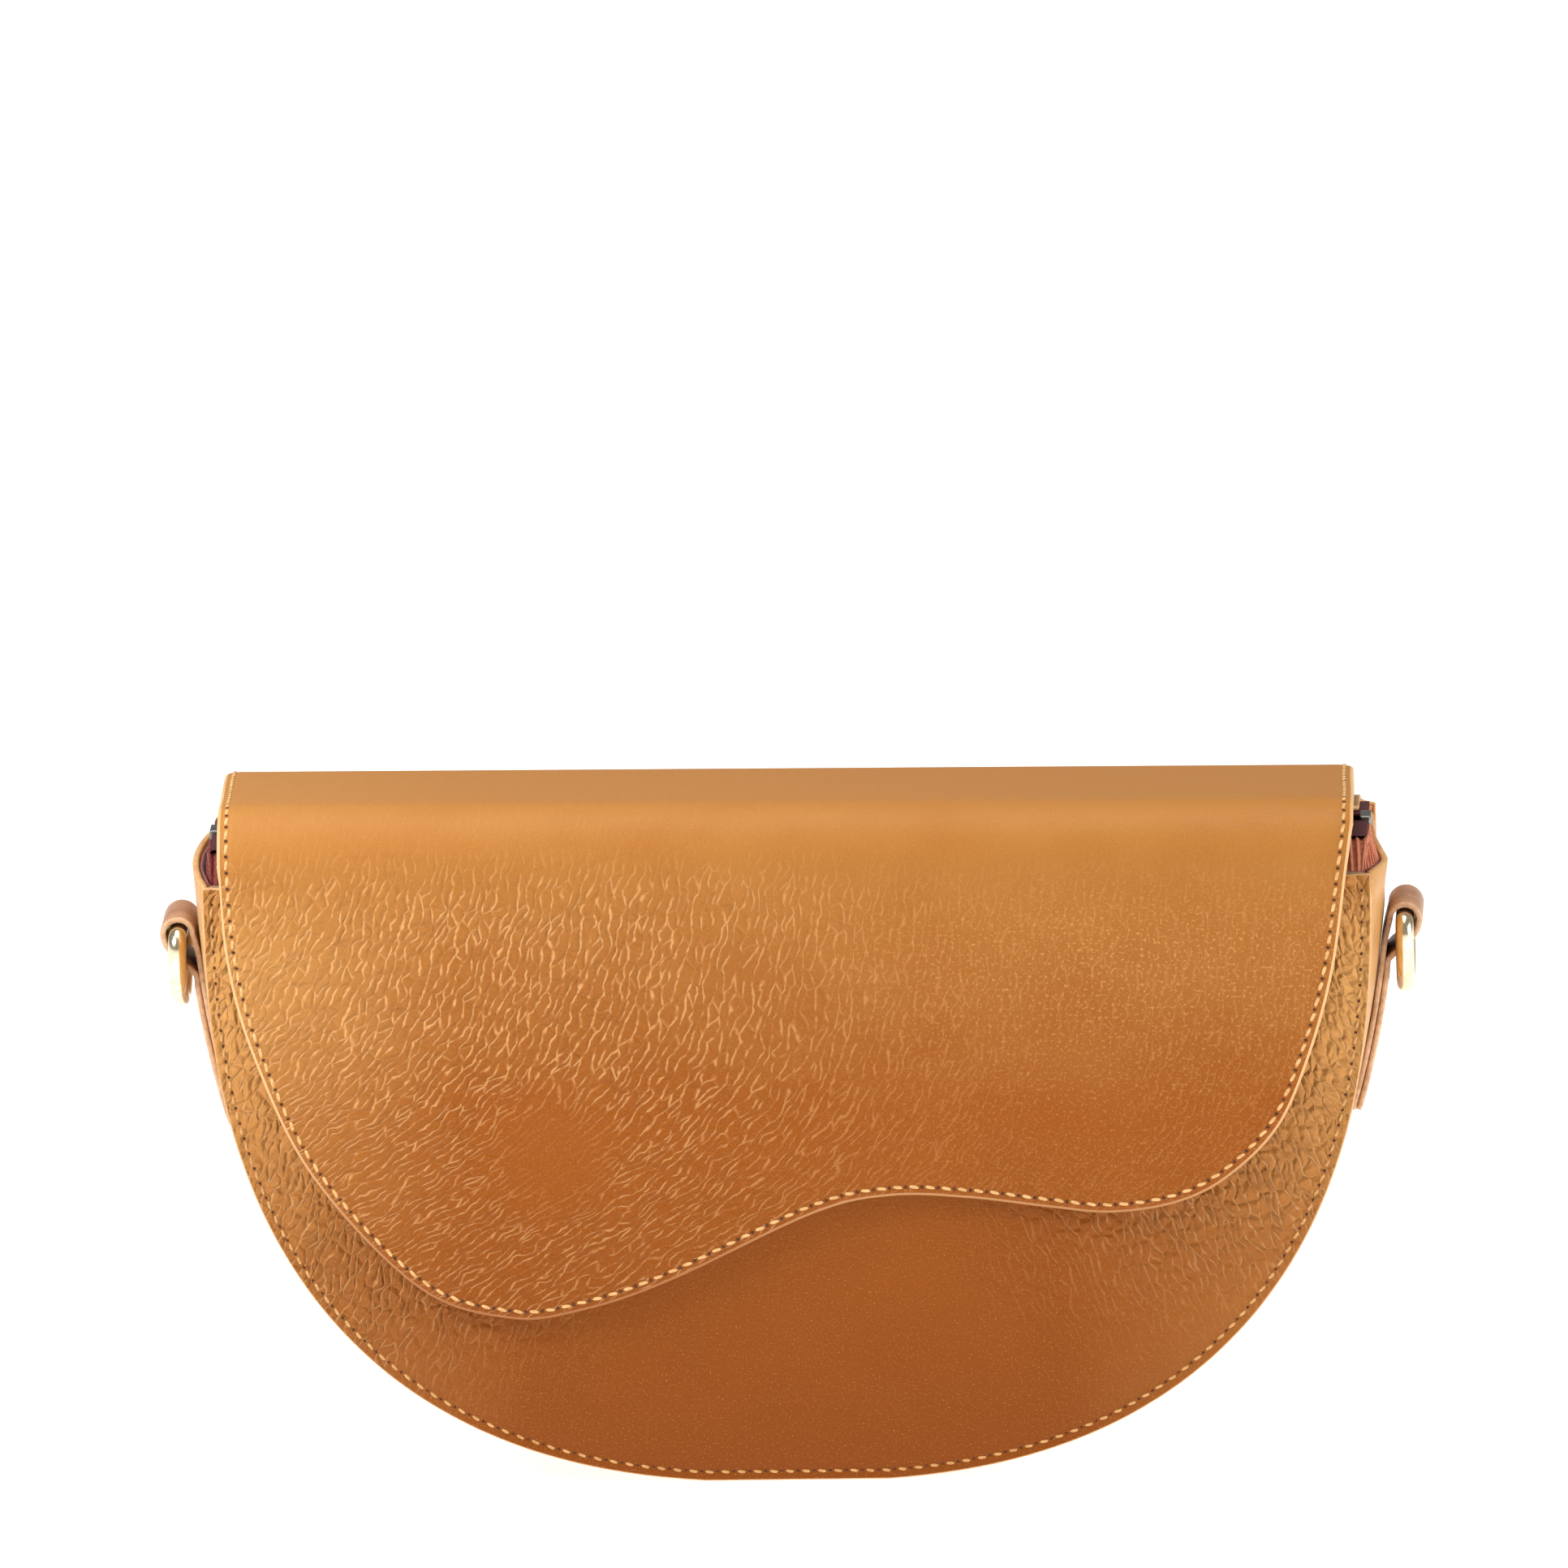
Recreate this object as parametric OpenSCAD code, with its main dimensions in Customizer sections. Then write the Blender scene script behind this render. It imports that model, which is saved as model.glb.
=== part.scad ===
// Saddle handbag: a half-moon body on a curved foot, a top zip, a wavy flap that folds over
// the front, and a ring in a leather tab at each side.
// X runs to the right, Y to the back, Z up. The origin is the middle of the foot.

/* [Body] */
// Width of the front and back panels
panel_w = 253; // [200:1:320]
// Height of the front panel's top edge above the ground
panel_h = 133; // [100:1:180]
// How much higher the back panel's top edge is than the front panel's
back_rise = 6; // [4:0.5:8]
// Depth of the body between the panels
body_d = 60; // [50:1:90]
// How much of the round bottom is pressed flat where the bag stands
foot_press = 0.5; // [0.3:0.1:1.5]
// How far the gusset stands out past the panels at its top
gusset_crown = 4; // [2:0.5:8]
// How much higher the gusset's rim is than the front panel
rim_lift = 0.2; // [0.2:0.1:1]
// How much higher the gusset's rim is at the back than at the front
rim_rise = 0.8; // [0.4:0.2:3]

/* [Leather and lining] */
// Thickness of the panels' leather
panel_t = 1.4; // [1:0.1:2.2]
// Thickness of the gusset's leather
gusset_t = 1.4; // [1:0.1:2.2]
// Thickness of the stiffening boards
board_t = 0.9; // [0.8:0.1:1.5]
// Thickness of the lining
lining_t = 0.8; // [0.5:0.1:1.2]
// Gap that glue fills between two layers
glue_gap = 0.1; // [0.05:0.05:0.2]

/* [Flap] */
// How far each side of the flap lies inside the panels' side
flap_inset = 3.5; // [2:0.5:12]
// Height of the flap's fold at the back above the zip's middle plane
fold_rise = 7; // [6.8:0.1:12]
// How much higher the flap's shoulder at the front is than the fold
shoulder_rise = 3.5; // [2.5:0.5:9]
// How far the flap's lowest point hangs below the shoulder
flap_drop = 111; // [80:1:125]
// Outer radius of the fold at the back
fold_r = 6; // [5:0.5:9]
// Outer radius of the shoulder at the front
shoulder_r = 14; // [8:0.5:18]
// Thickness of the flap's leather
flap_t = 1.3; // [1:0.1:2]
// Thickness of the flap's lining
flap_lining_t = 0.7; // [0.5:0.1:1.2]
// Gap between the parts of the flap where it bends
bend_gap = 0.3; // [0.2:0.05:0.5]
// How far the flap's tail reaches down the back panel
tail_drop = 36; // [20:1:60]
// Radius of the tail's lower corners
tail_corner_r = 14; // [6:1:24]

/* [Snaps] */
// Diameter of a snap's plates
snap_d = 18; // [14:1:20]
// Thickness of the socket on the front panel
socket_t = 2.2; // [1.8:0.1:3]
// Thickness of the stud's plate on the flap
stud_plate_t = 0.8; // [0.6:0.1:1.2]
// Gap between the closed socket and the stud's plate
snap_gap = 0.4; // [0.3:0.1:0.8]
// Diameter of the hole in the socket
socket_hole_d = 8; // [7.4:0.2:9]
// Diameter of the stud's post
post_d = 4.8; // [4:0.2:5.2]
// Height of the stud's post
post_h = 1.3; // [1:0.1:1.6]
// Thickness of the backplates
backplate_t = 0.6; // [0.4:0.1:0.7]
// Diameter of the backplates
backplate_d = 14; // [12:1:16]
// Wall of the socket's cover round its magnet
socket_wall = 0.6; // [0.4:0.1:0.8]

/* [Zip] */
// Height of the zip's middle plane above the front panel's top edge
zip_rise = 5.5; // [5:0.1:6.5]
// How far the zip's ends reach past the facings
end_reach = 2.2; // [1:0.2:3]
// Length of an end stop
stop_l = 2.4; // [1.6:0.2:2.6]
// Distance from tooth to tooth
tooth_pitch = 3; // [2.6:0.1:4]
// Length of a tooth along the zip
tooth_l = 1.7; // [1.4:0.1:2]
// Reach of a tooth across the zip
tooth_reach = 2.6; // [2:0.1:3]
// Thickness of a tooth
tooth_t = 2.6; // [2:0.1:2.8]
// Gap between the two rows of teeth
chain_gap = 1.6; // [1.5:0.1:2.4]
// Width of each tape
tape_w = 14; // [11:0.5:16]
// Thickness of the tapes
tape_t = 0.5; // [0.4:0.05:0.6]
// Gap between the edges of the two leather facings
facing_slot = 13; // [12:0.5:18]
// Thickness of the facings' leather
facing_t = 1.1; // [0.8:0.1:1.3]
// How far the facings reach down inside the panels
facing_drop = 12; // [8:1:20]
// Length of a leather end tab
end_tab_l = 9; // [7:0.5:12]
// Width of a leather end tab
end_tab_w = 22; // [16:1:26]

/* [Slider] */
// Length of the slider
slider_l = 11; // [9:0.5:14]
// Width of the slider
slider_w = 9; // [8.6:0.2:10.5]
// Thickness of the slider's plates
slider_plate_t = 0.8; // [0.6:0.1:1]
// Gap between the slider and what it runs on
slider_gap = 0.4; // [0.3:0.05:0.45]
// Width of the slider's middle web
slider_web_w = 0.8; // [0.6:0.1:0.8]
// Distance from the slider to the end of the rows where it stops
slider_end_gap = 10; // [9:0.5:30]
// Width of the arch that holds the pull tab
arch_w = 2; // [1.6:0.1:2.4]
// Gap between the arch and the pull tab's bar
arch_gap = 0.35; // [0.3:0.05:0.4]
// Length of the pull tab
puller_l = 16; // [14:1:20]
// Width of the pull tab
puller_w = 6; // [5:0.5:8]
// Thickness of the pull tab
puller_t = 1; // [0.8:0.1:1.2]

/* [Side tabs and rings] */
// Width of a side tab
tab_w = 19; // [15:1:24]
// Thickness of one layer of a side tab
tab_t = 1.3; // [1:0.1:1.8]
// Distance from a ring's bar down to the tab's cut end
tab_drop = 42; // [30:1:60]
// Diameter of a ring's wire
ring_wire_d = 4; // [3:0.1:4.6]
// Height of a ring from its bar to its lowest point, between wire centres
ring_h = 16; // [15:0.5:24]
// Gap between a ring's side and the tab
ring_side_gap = 1; // [0.5:0.1:2]
// Gap between a ring's bar and the loop round it
ring_bar_gap = 0.6; // [0.4:0.1:1]
// How far a ring's bar lies below the front panel's top edge
ring_bar_drop = 15; // [8:0.5:20]
// How far below the loop the tab's two layers meet
loop_close = 4.5; // [3:0.5:8]
// Gap between a tab's loop and the gusset
loop_gap = 0.4; // [0.3:0.1:1]

/* [Hidden] */
$fn = 48;

// Power of the half-moon outline: 2 would be an ellipse, more is squarer
fullness_share = 2.45;
// Parts that the half-moon is drawn in
outline_steps = 48;
// Parts that the gusset is drawn in across its width
gusset_steps = 8;
// Height, as a share of the panel's, where the gusset starts to stand out
crown_start_share = 0.55;
// How quickly the gusset stands out above that
crown_power_share = 1.5;
// Overrun of the cuts
over = 1;

// Lower edge of the flap from the left side to the right: across in half widths of the flap,
// down in shares of its drop
flap_edge_shares = [
    [-1, 0.1], [-0.988, 0.28], [-0.945, 0.47], [-0.846, 0.71], [-0.663, 0.935],
    [-0.5, 1], [-0.37, 0.985], [-0.215, 0.928], [0.039, 0.798],
    [0.175, 0.765], [0.312, 0.771], [0.45, 0.791], [0.561, 0.8035], [0.676, 0.786],
    [0.768, 0.737], [0.86, 0.637], [0.918, 0.495], [0.962, 0.324], [0.988, 0.126]
];
// Parts that each stretch of the flap's edge is drawn in
edge_steps = 4;
// Places of the two snaps, in the same shares
snap_shares = [[-0.42, 0.67], [0.51, 0.57]];

back_h = panel_h + back_rise;
zip_h = panel_h + zip_rise;
fold_h = zip_h + fold_rise;
shoulder_h = fold_h + shoulder_rise;
ring_bar_z = panel_h - ring_bar_drop;
flap_w = panel_w - 2 * flap_inset;

panel_face = body_d / 2;
panel_outer = panel_face + panel_t;
outline_h = panel_h + foot_press;
board_face = panel_face - glue_gap;
lining_face = board_face - board_t - glue_gap;
inner_face = lining_face - lining_t;
gusset_inset = gusset_t + glue_gap;

snap_stack = socket_t + snap_gap + stud_plate_t;
flap_inner = panel_outer + snap_stack;
flap_stack = flap_t + glue_gap + flap_lining_t;
flap_outer = flap_inner + flap_stack;
fold_c = [panel_outer + glue_gap + flap_t - fold_r, fold_h - fold_r];
shoulder_c = [shoulder_r - flap_outer, shoulder_h - shoulder_r];
// The top's tilt, and so where the fold ends and the shoulder starts
top_turn_angle = 90 - atan2(shoulder_h - fold_h, fold_c[0] - shoulder_c[0]);
fold_gap_angle = asin(bend_gap / 2 / fold_r);
shoulder_gap_angle = asin(bend_gap / 2 / shoulder_r);
// Directions from the centres of the fold and the shoulder to their hinge lines
fold_mid_angle = 45;
shoulder_mid_angle = 135;

tape_edge = chain_gap / 2 + tooth_reach;
facing_z = zip_h + tape_t / 2 + glue_gap;
facing_half_l = outline_x(turn_at(panel_h - facing_drop), -gusset_inset - lining_t) - 2 * glue_gap;
zip_half_l = facing_half_l + end_reach;
chain_l = 2 * (zip_half_l - stop_l - glue_gap);
slider_half_h = tooth_t / 2 + slider_gap;
// At rest the slider stands at the left end of its travel
slider_x = -(chain_l - slider_l) / 2 + slider_end_gap;
slider_top = zip_h + slider_half_h + slider_plate_t;
// The pull tab turns on a bar under an arch on the slider
puller_z = slider_top + slider_gap + puller_t / 2;
arch_in_r = puller_t / 2 + arch_gap;
arch_out_r = arch_in_r + slider_plate_t;
puller_arm_w = (puller_w - arch_w) / 2 - arch_gap;

loop_in_r = ring_wire_d / 2 + ring_bar_gap;
loop_out_r = loop_in_r + tab_t;
// Half width of the gap below the bar, where the tab's layers part
loop_mouth_r = ring_wire_d / 2;
ring_bar_x = gusset_x(ring_bar_z) + loop_gap + loop_out_r;
ring_half_w = tab_w / 2 + ring_side_gap + ring_wire_d / 2;
ring_arm_l = ring_h - ring_half_w;

// Half width of the half-moon at a height, and the height at a turn of its outline
function outline_x(turn, grow) =
    (panel_w / 2 + grow) * sign(cos(turn)) * pow(abs(cos(turn)), 2 / fullness_share);
function outline_z(turn, grow) =
    max(outline_h - (outline_h + grow) * pow(sin(turn), 2 / fullness_share), foot_press - grow)
    - foot_press;
function turn_at(z) = asin(pow((panel_h - z) / outline_h, fullness_share / 2));

// The half-moon from the right end of its top to the left end, closed by a straight top at a height
function half_moon(grow, top) = concat(
    top > panel_h ? [[panel_w / 2 + grow, top]] : [],
    [for (i = [0 : outline_steps])
        let (turn = 180 * i / outline_steps) [outline_x(turn, grow), outline_z(turn, grow)]],
    top > panel_h ? [[-panel_w / 2 - grow, top]] : []
);

// How far the gusset stands out: nothing low down and at its two edges, most at its top's middle
function crown(y, z) =
    gusset_crown * (1 - pow(2 * y / body_d, 2))
    * pow(max(0, (z / panel_h - crown_start_share) / (1 - crown_start_share)), crown_power_share);
// Outer face of the gusset at mid depth, at a height
function gusset_x(z) = outline_x(turn_at(z), 0) + crown(0, z);

// Points on a circle arc of a profile in depth and height
function arc(c, r, from, to, steps) =
    [for (i = [0 : steps]) let (a = from + (to - from) * i / steps) c + r * [cos(a), sin(a)]];
function reversed(points) = [for (i = [len(points) - 1 : -1 : 0]) points[i]];

// Smooth curve through points
function curve_at(a, b, c, d, t) =
    (2 * b + (c - a) * t + (2 * a - 5 * b + 4 * c - d) * t * t
    + (3 * b - a - 3 * c + d) * t * t * t) / 2;
function curve(p, steps) = concat(
    [for (i = [0 : len(p) - 2])
        for (j = [0 : steps - 1])
            curve_at(p[max(i - 1, 0)], p[i], p[i + 1], p[min(i + 2, len(p) - 1)], j / steps)],
    [p[len(p) - 1]]
);
function on_flap(share) = [share[0] * flap_w / 2, shoulder_h - share[1] * flap_drop];

// A flat piece that stands across the depth, from one depth to another
module plate(points, from, to) {
    translate([0, to, 0]) rotate([90, 0, 0]) linear_extrude(to - from) polygon(points);
}
// A profile in depth and height, drawn out across the width
module drawn_out(points, width) {
    rotate([90, 0, 90]) linear_extrude(width, center = true) polygon(points);
}
// A short cylinder that stands across the depth, from one depth to another
module disc(place, d, from, to) {
    translate([place[0], to, place[1]]) rotate([90, 0, 0]) cylinder(d = d, h = to - from);
}

// The gusset's rim: level with the front panel, a little higher toward the back
function rim_z(y) = panel_h + rim_lift + rim_rise * (y + panel_face) / body_d;
// Height to which the gusset's lining rises, to the zip's ends
lining_rim_z = zip_h - tooth_t / 2 - glue_gap;

// One point of the gusset's band: station i round the outline, j across the depth. The first and
// the last station are the rim.
function band_point(i, j, half_d, grow, rim) =
    let (
        y = half_d * (2 * j / gusset_steps - 1),
        turn = 180 * max(0, min(i - 1, outline_steps)) / outline_steps,
        at_rim = i == 0 || i == outline_steps + 2,
        z = at_rim ? (rim > 0 ? rim : rim_z(y)) : outline_z(turn, grow),
        x = outline_x(turn, grow),
        out = at_rim && rim > 0 ? 0 : crown(y, min(z, panel_h))
    )
    [x + sign(x) * out, y, z];

// The gusset's band as a closed shell, from an outer growth to an inner one
module band(half_d, outer, inner, rim) {
    n = outline_steps + 3;
    m = gusset_steps + 1;
    outside = [for (i = [0 : n - 1]) for (j = [0 : m - 1]) band_point(i, j, half_d, outer, rim)];
    inside = [for (i = [0 : n - 1]) for (j = [0 : m - 1]) band_point(i, j, half_d, inner, rim)];
    k = n * m;
    polyhedron(
        concat(outside, inside),
        concat(
            [for (i = [0 : n - 2]) for (j = [0 : m - 2])
                let (a = i * m + j) each [[a, a + m, a + m + 1], [a, a + m + 1, a + 1]]],
            [for (i = [0 : n - 2]) for (j = [0 : m - 2])
                let (a = k + i * m + j) each [[a, a + m + 1, a + m], [a, a + 1, a + m + 1]]],
            [for (i = [0 : n - 2])
                let (a = i * m, b = k + i * m) each [[a, b, b + m], [a, b + m, a + m]]],
            [for (i = [0 : n - 2])
                let (a = i * m + m - 1, b = k + i * m + m - 1) each [[a, b + m, b], [a, a + m, b + m]]],
            [for (j = [0 : m - 2]) each [[j, j + 1, k + j + 1], [j, k + j + 1, k + j]]],
            [for (j = [0 : m - 2])
                let (a = (n - 1) * m + j) each [[a, k + a + 1, a + 1], [a, k + a, k + a + 1]]]
        )
    );
}

// Profile of the flap's tail, top and front at a depth below its outer face
function fold_arc(depth, from, to) = arc(fold_c, fold_r - depth, from, to, 8);
function shoulder_arc(depth, from, to) = arc(shoulder_c, shoulder_r - depth, from, to, 8);
function tail_line(depth) = concat(
    [[fold_c[0] + fold_r - depth, back_h - tail_drop]],
    fold_arc(depth, 0, fold_mid_angle - fold_gap_angle)
);
function top_line(depth) = concat(
    fold_arc(depth, fold_mid_angle + fold_gap_angle, top_turn_angle),
    shoulder_arc(depth, top_turn_angle, shoulder_mid_angle - shoulder_gap_angle)
);
function front_line(depth) = concat(
    shoulder_arc(depth, shoulder_mid_angle + shoulder_gap_angle, 180),
    [[-flap_outer + depth, 0]]
);
function layer(outer_line, inner_line) = concat(outer_line, reversed(inner_line));
lining_depth = flap_t + glue_gap;

// The flap's face seen from the front, with its wavy lower edge
module flap_face() {
    plate(
        concat(
            [[-flap_w / 2, shoulder_h + over]],
            curve([for (s = flap_edge_shares) on_flap(s)], edge_steps),
            [[flap_w / 2, shoulder_h + over]]
        ),
        -flap_outer - over, 0
    );
}

module front_panel() {
    color("#B9702F") plate(half_moon(0, panel_h), -panel_outer, -panel_face);
}

module front_board() {
    color("#8A7358") difference() {
        plate(half_moon(-gusset_inset, panel_h), -board_face, -board_face + board_t);
        for (s = snap_shares)
            disc(on_flap(s), backplate_d + 2 * glue_gap, -board_face - over, -board_face + board_t + over);
    }
}

module front_lining() {
    color("#8A4A38") plate(half_moon(-gusset_inset, panel_h), -lining_face, -inner_face);
}

module back_panel() {
    color("#B9702F") plate(half_moon(0, back_h), panel_face, panel_outer);
}

module back_board() {
    color("#8A7358") plate(half_moon(-gusset_inset, back_h), board_face - board_t, board_face);
}

module back_lining() {
    color("#8A4A38") plate(half_moon(-gusset_inset, back_h), inner_face, lining_face);
}

module gusset() {
    color("#D39A52") band(panel_face, 0, -gusset_t, 0);
}

module gusset_lining() {
    color("#8A4A38") band(inner_face - glue_gap, -gusset_inset, -gusset_inset - lining_t, lining_rim_z);
}

module flap_tail() {
    low = back_h - tail_drop;
    color("#B9702F") intersection() {
        drawn_out(layer(tail_line(0), tail_line(flap_t)), flap_w);
        plate(
            concat(
                [[flap_w / 2, fold_h + over], [-flap_w / 2, fold_h + over]],
                arc([tail_corner_r - flap_w / 2, low + tail_corner_r], tail_corner_r, 180, 270, 8),
                arc([flap_w / 2 - tail_corner_r, low + tail_corner_r], tail_corner_r, 270, 360, 8)
            ),
            0, flap_outer + over
        );
    }
}

module flap_top_leather() {
    color("#C57A38") drawn_out(layer(top_line(0), top_line(flap_t)), flap_w);
}

module flap_top_lining() {
    color("#A35820") drawn_out(layer(top_line(lining_depth), top_line(flap_stack)), flap_w);
}

module flap_front_leather() {
    pocket = backplate_t + glue_gap;
    leather_in = flap_outer - flap_t;
    color("#C57A38") difference() {
        intersection() {
            drawn_out(layer(front_line(0), front_line(flap_t)), flap_w + over);
            flap_face();
        }
        for (s = snap_shares)
            disc(on_flap(s), backplate_d + 2 * glue_gap, -leather_in - pocket, -leather_in + over);
    }
}

module flap_front_lining() {
    color("#A35820") intersection() {
        drawn_out(layer(front_line(lining_depth), front_line(flap_stack)), flap_w + over);
        flap_face();
    }
}

// The socket's cover is a cup with a ring-shaped room for the magnet behind its face
module snap_sockets() {
    face = -panel_outer - socket_t;
    color("#E6CF9A") for (s = snap_shares)
        difference() {
            disc(on_flap(s), snap_d, face, -panel_outer);
            disc(on_flap(s), socket_hole_d, face - over, -panel_outer + over);
            difference() {
                disc(on_flap(s), snap_d - 2 * socket_wall, face + socket_wall, -panel_outer + over);
                disc(on_flap(s), socket_hole_d + 2 * socket_wall, face, -panel_outer + 2 * over);
            }
        }
}

module snap_magnets() {
    face = -panel_outer - socket_t + socket_wall + glue_gap;
    color("#4A4A4E") for (s = snap_shares)
        difference() {
            disc(on_flap(s), snap_d - 2 * socket_wall - 2 * glue_gap, face, -panel_outer - glue_gap);
            disc(
                on_flap(s), socket_hole_d + 2 * socket_wall + 2 * glue_gap,
                face - over, -panel_outer + over
            );
        }
}

module snap_socket_backplates() {
    color("#C9C9C4") for (s = snap_shares)
        disc(on_flap(s), backplate_d, -panel_face, -panel_face + backplate_t);
}

module snap_studs() {
    plate_in = -flap_inner + stud_plate_t;
    color("#E6CF9A") for (s = snap_shares) {
        disc(on_flap(s), snap_d, -flap_inner, plate_in);
        disc(on_flap(s), post_d, plate_in - stud_plate_t / 2, plate_in + post_h);
    }
}

module snap_stud_backplates() {
    leather_in = flap_outer - flap_t;
    color("#C9C9C4") for (s = snap_shares)
        disc(on_flap(s), backplate_d, -leather_in - backplate_t, -leather_in);
}

// A strip's outline along a line of points: its second face lies to the line's left
function way(a, b) = (b - a) / norm(b - a);
function left_of(v) = [-v[1], v[0]];
function shifted(p, i, t) =
    let (
        before = i > 0 ? way(p[i - 1], p[i]) : way(p[0], p[1]),
        after = i < len(p) - 1 ? way(p[i], p[i + 1]) : before,
        m = left_of(before) + left_of(after)
    )
    p[i] + m * 2 * t / (m * m);
function strip(p, t) = concat(p, [for (i = [len(p) - 1 : -1 : 0]) shifted(p, i, t)]);

// Upper face of a facing, as for the rear: flat beside the zip, then out to its panel's lining
function facing_line(panel_top) = [
    [facing_slot / 2, facing_z + facing_t],
    [tape_edge + tape_w + facing_t, facing_z + facing_t],
    [inner_face - glue_gap, panel_top - facing_t],
    [inner_face - glue_gap, panel_top - facing_drop]
];

module zip_facing_front() {
    color("#B06A34") mirror([0, 1, 0])
        drawn_out(strip(facing_line(panel_h), -facing_t), 2 * facing_half_l);
}

module zip_facing_rear() {
    color("#B06A34") drawn_out(strip(facing_line(back_h), -facing_t), 2 * facing_half_l);
}

module tape() {
    translate([-zip_half_l, tape_edge, zip_h - tape_t / 2])
        cube([2 * zip_half_l, tape_w, tape_t]);
}
module zip_tape_front() {
    color("#4A2020") mirror([0, 1, 0]) tape();
}
module zip_tape_rear() {
    color("#4A2020") tape();
}

// One row of teeth. The other row stands half a pitch on.
module teeth(start) {
    count = floor((chain_l - tooth_pitch / 2) / tooth_pitch);
    for (i = [0 : count - 1])
        translate([start + i * tooth_pitch, chain_gap / 2, zip_h - tooth_t / 2])
            cube([tooth_l, tooth_reach, tooth_t]);
}
module zip_teeth_front() {
    color("#D8D8D4") mirror([0, 1, 0]) teeth(-chain_l / 2);
}
module zip_teeth_rear() {
    color("#D8D8D4") teeth(-chain_l / 2 + tooth_pitch / 2);
}

module zip_stops() {
    color("#D8D8D4") for (side = [-1, 1])
        translate([side * (chain_l + stop_l) / 2 + side * glue_gap, 0, zip_h])
            cube([stop_l, 2 * tape_edge, tooth_t], center = true);
}

module zip_end_tabs() {
    color("#B06A34") for (side = [-1, 1])
        translate([
            side * (zip_half_l - end_tab_l / 2),
            0,
            facing_z + facing_t + glue_gap + facing_t / 2
        ])
            cube([end_tab_l, end_tab_w, facing_t], center = true);
}

// The slider: two plates joined by a web between the rows, rims beside the rows, and an arch
module zip_slider() {
    rim_h = slider_half_h - tape_t / 2 - slider_gap;
    color("#E6CF9A") translate([slider_x, 0, 0]) {
        for (side = [-1, 1])
            translate([0, 0, zip_h + side * (slider_half_h + slider_plate_t / 2)])
                cube([slider_l, slider_w, slider_plate_t], center = true);
        translate([0, 0, zip_h])
            cube([slider_l / 2, slider_web_w, 2 * slider_half_h + slider_plate_t], center = true);
        for (side = [-1, 1], up = [-1, 1])
            translate([
                0,
                side * (slider_w - slider_plate_t) / 2,
                zip_h + up * (slider_half_h - rim_h / 2 + slider_plate_t / 4)
            ])
                cube([slider_l, slider_plate_t, rim_h + slider_plate_t / 2], center = true);
        difference() {
            union() {
                translate([0, arch_w / 2, puller_z]) rotate([90, 0, 0])
                    cylinder(r = arch_out_r, h = arch_w);
                translate([-arch_out_r, -arch_w / 2, slider_top - slider_plate_t / 2])
                    cube([2 * arch_out_r, arch_w, puller_z - slider_top + slider_plate_t / 2]);
            }
            translate([0, arch_w, puller_z]) rotate([90, 0, 0]) cylinder(r = arch_in_r, h = 2 * arch_w);
        }
    }
}

// The pull tab: a bar through the slider's arch, two arms beside it, and the grip
module zip_puller() {
    arms_l = arch_out_r + arch_gap;
    color("#E6CF9A") translate([slider_x, 0, puller_z]) {
        translate([0, puller_w / 2, 0]) rotate([90, 0, 0]) cylinder(d = puller_t, h = puller_w);
        for (side = [-1, 1])
            translate([arms_l / 2, side * (puller_w - puller_arm_w) / 2, 0])
                cube([arms_l, puller_arm_w, puller_t], center = true);
        translate([arms_l, -puller_w / 2, -puller_t / 2])
            cube([puller_l - arms_l - puller_w / 2, puller_w, puller_t]);
        translate([puller_l - puller_w / 2, 0, -puller_t / 2]) cylinder(d = puller_w, h = puller_t);
    }
}

// A tab at the right side: both layers lie on the gusset and part round the ring's bar
module side_tab() {
    low_z = ring_bar_z - tab_drop;
    part_z = ring_bar_z - loop_out_r - loop_close;
    steps = 8;
    faces = [for (i = [0 : steps]) let (z = low_z + (part_z - low_z) * i / steps)
        [gusset_x(z) + glue_gap, z]];
    part = faces[steps];
    tip = [part[0] + tab_t, part[1] + 2 * tab_t];
    bar = [ring_bar_x, ring_bar_z];
    color("#B5825E") difference() {
        union() {
            plate(
                concat(
                    faces,
                    [bar - [loop_out_r, 0], bar + [loop_out_r, 0]],
                    [for (p = reversed(faces)) p + [2 * tab_t, 0]]
                ),
                -tab_w / 2, tab_w / 2
            );
            disc(bar, 2 * loop_out_r, -tab_w / 2, tab_w / 2);
        }
        disc(bar, 2 * loop_in_r, -tab_w / 2 - over, tab_w / 2 + over);
        plate(
            [tip, bar + [loop_mouth_r, 0], bar - [loop_mouth_r, 0]],
            -tab_w / 2 - over, tab_w / 2 + over
        );
    }
}
module side_tab_left() {
    mirror([1, 0, 0]) side_tab();
}
module side_tab_right() {
    side_tab();
}

// A ring at the right side: its bar in the loop, two short arms and a half circle below
module ring() {
    color("#E9DDB8") translate([ring_bar_x, 0, ring_bar_z]) {
        translate([0, ring_half_w, 0]) rotate([90, 0, 0])
            cylinder(d = ring_wire_d, h = 2 * ring_half_w);
        for (side = [-1, 1]) {
            translate([0, side * ring_half_w, 0]) sphere(d = ring_wire_d);
            translate([0, side * ring_half_w, -ring_arm_l]) cylinder(d = ring_wire_d, h = ring_arm_l);
        }
        translate([0, 0, -ring_arm_l]) rotate([90, 0, 90]) rotate([0, 0, 180])
            rotate_extrude(angle = 180) translate([ring_half_w, 0]) circle(d = ring_wire_d);
    }
}
module ring_left() {
    mirror([1, 0, 0]) ring();
}
module ring_right() {
    ring();
}

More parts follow.
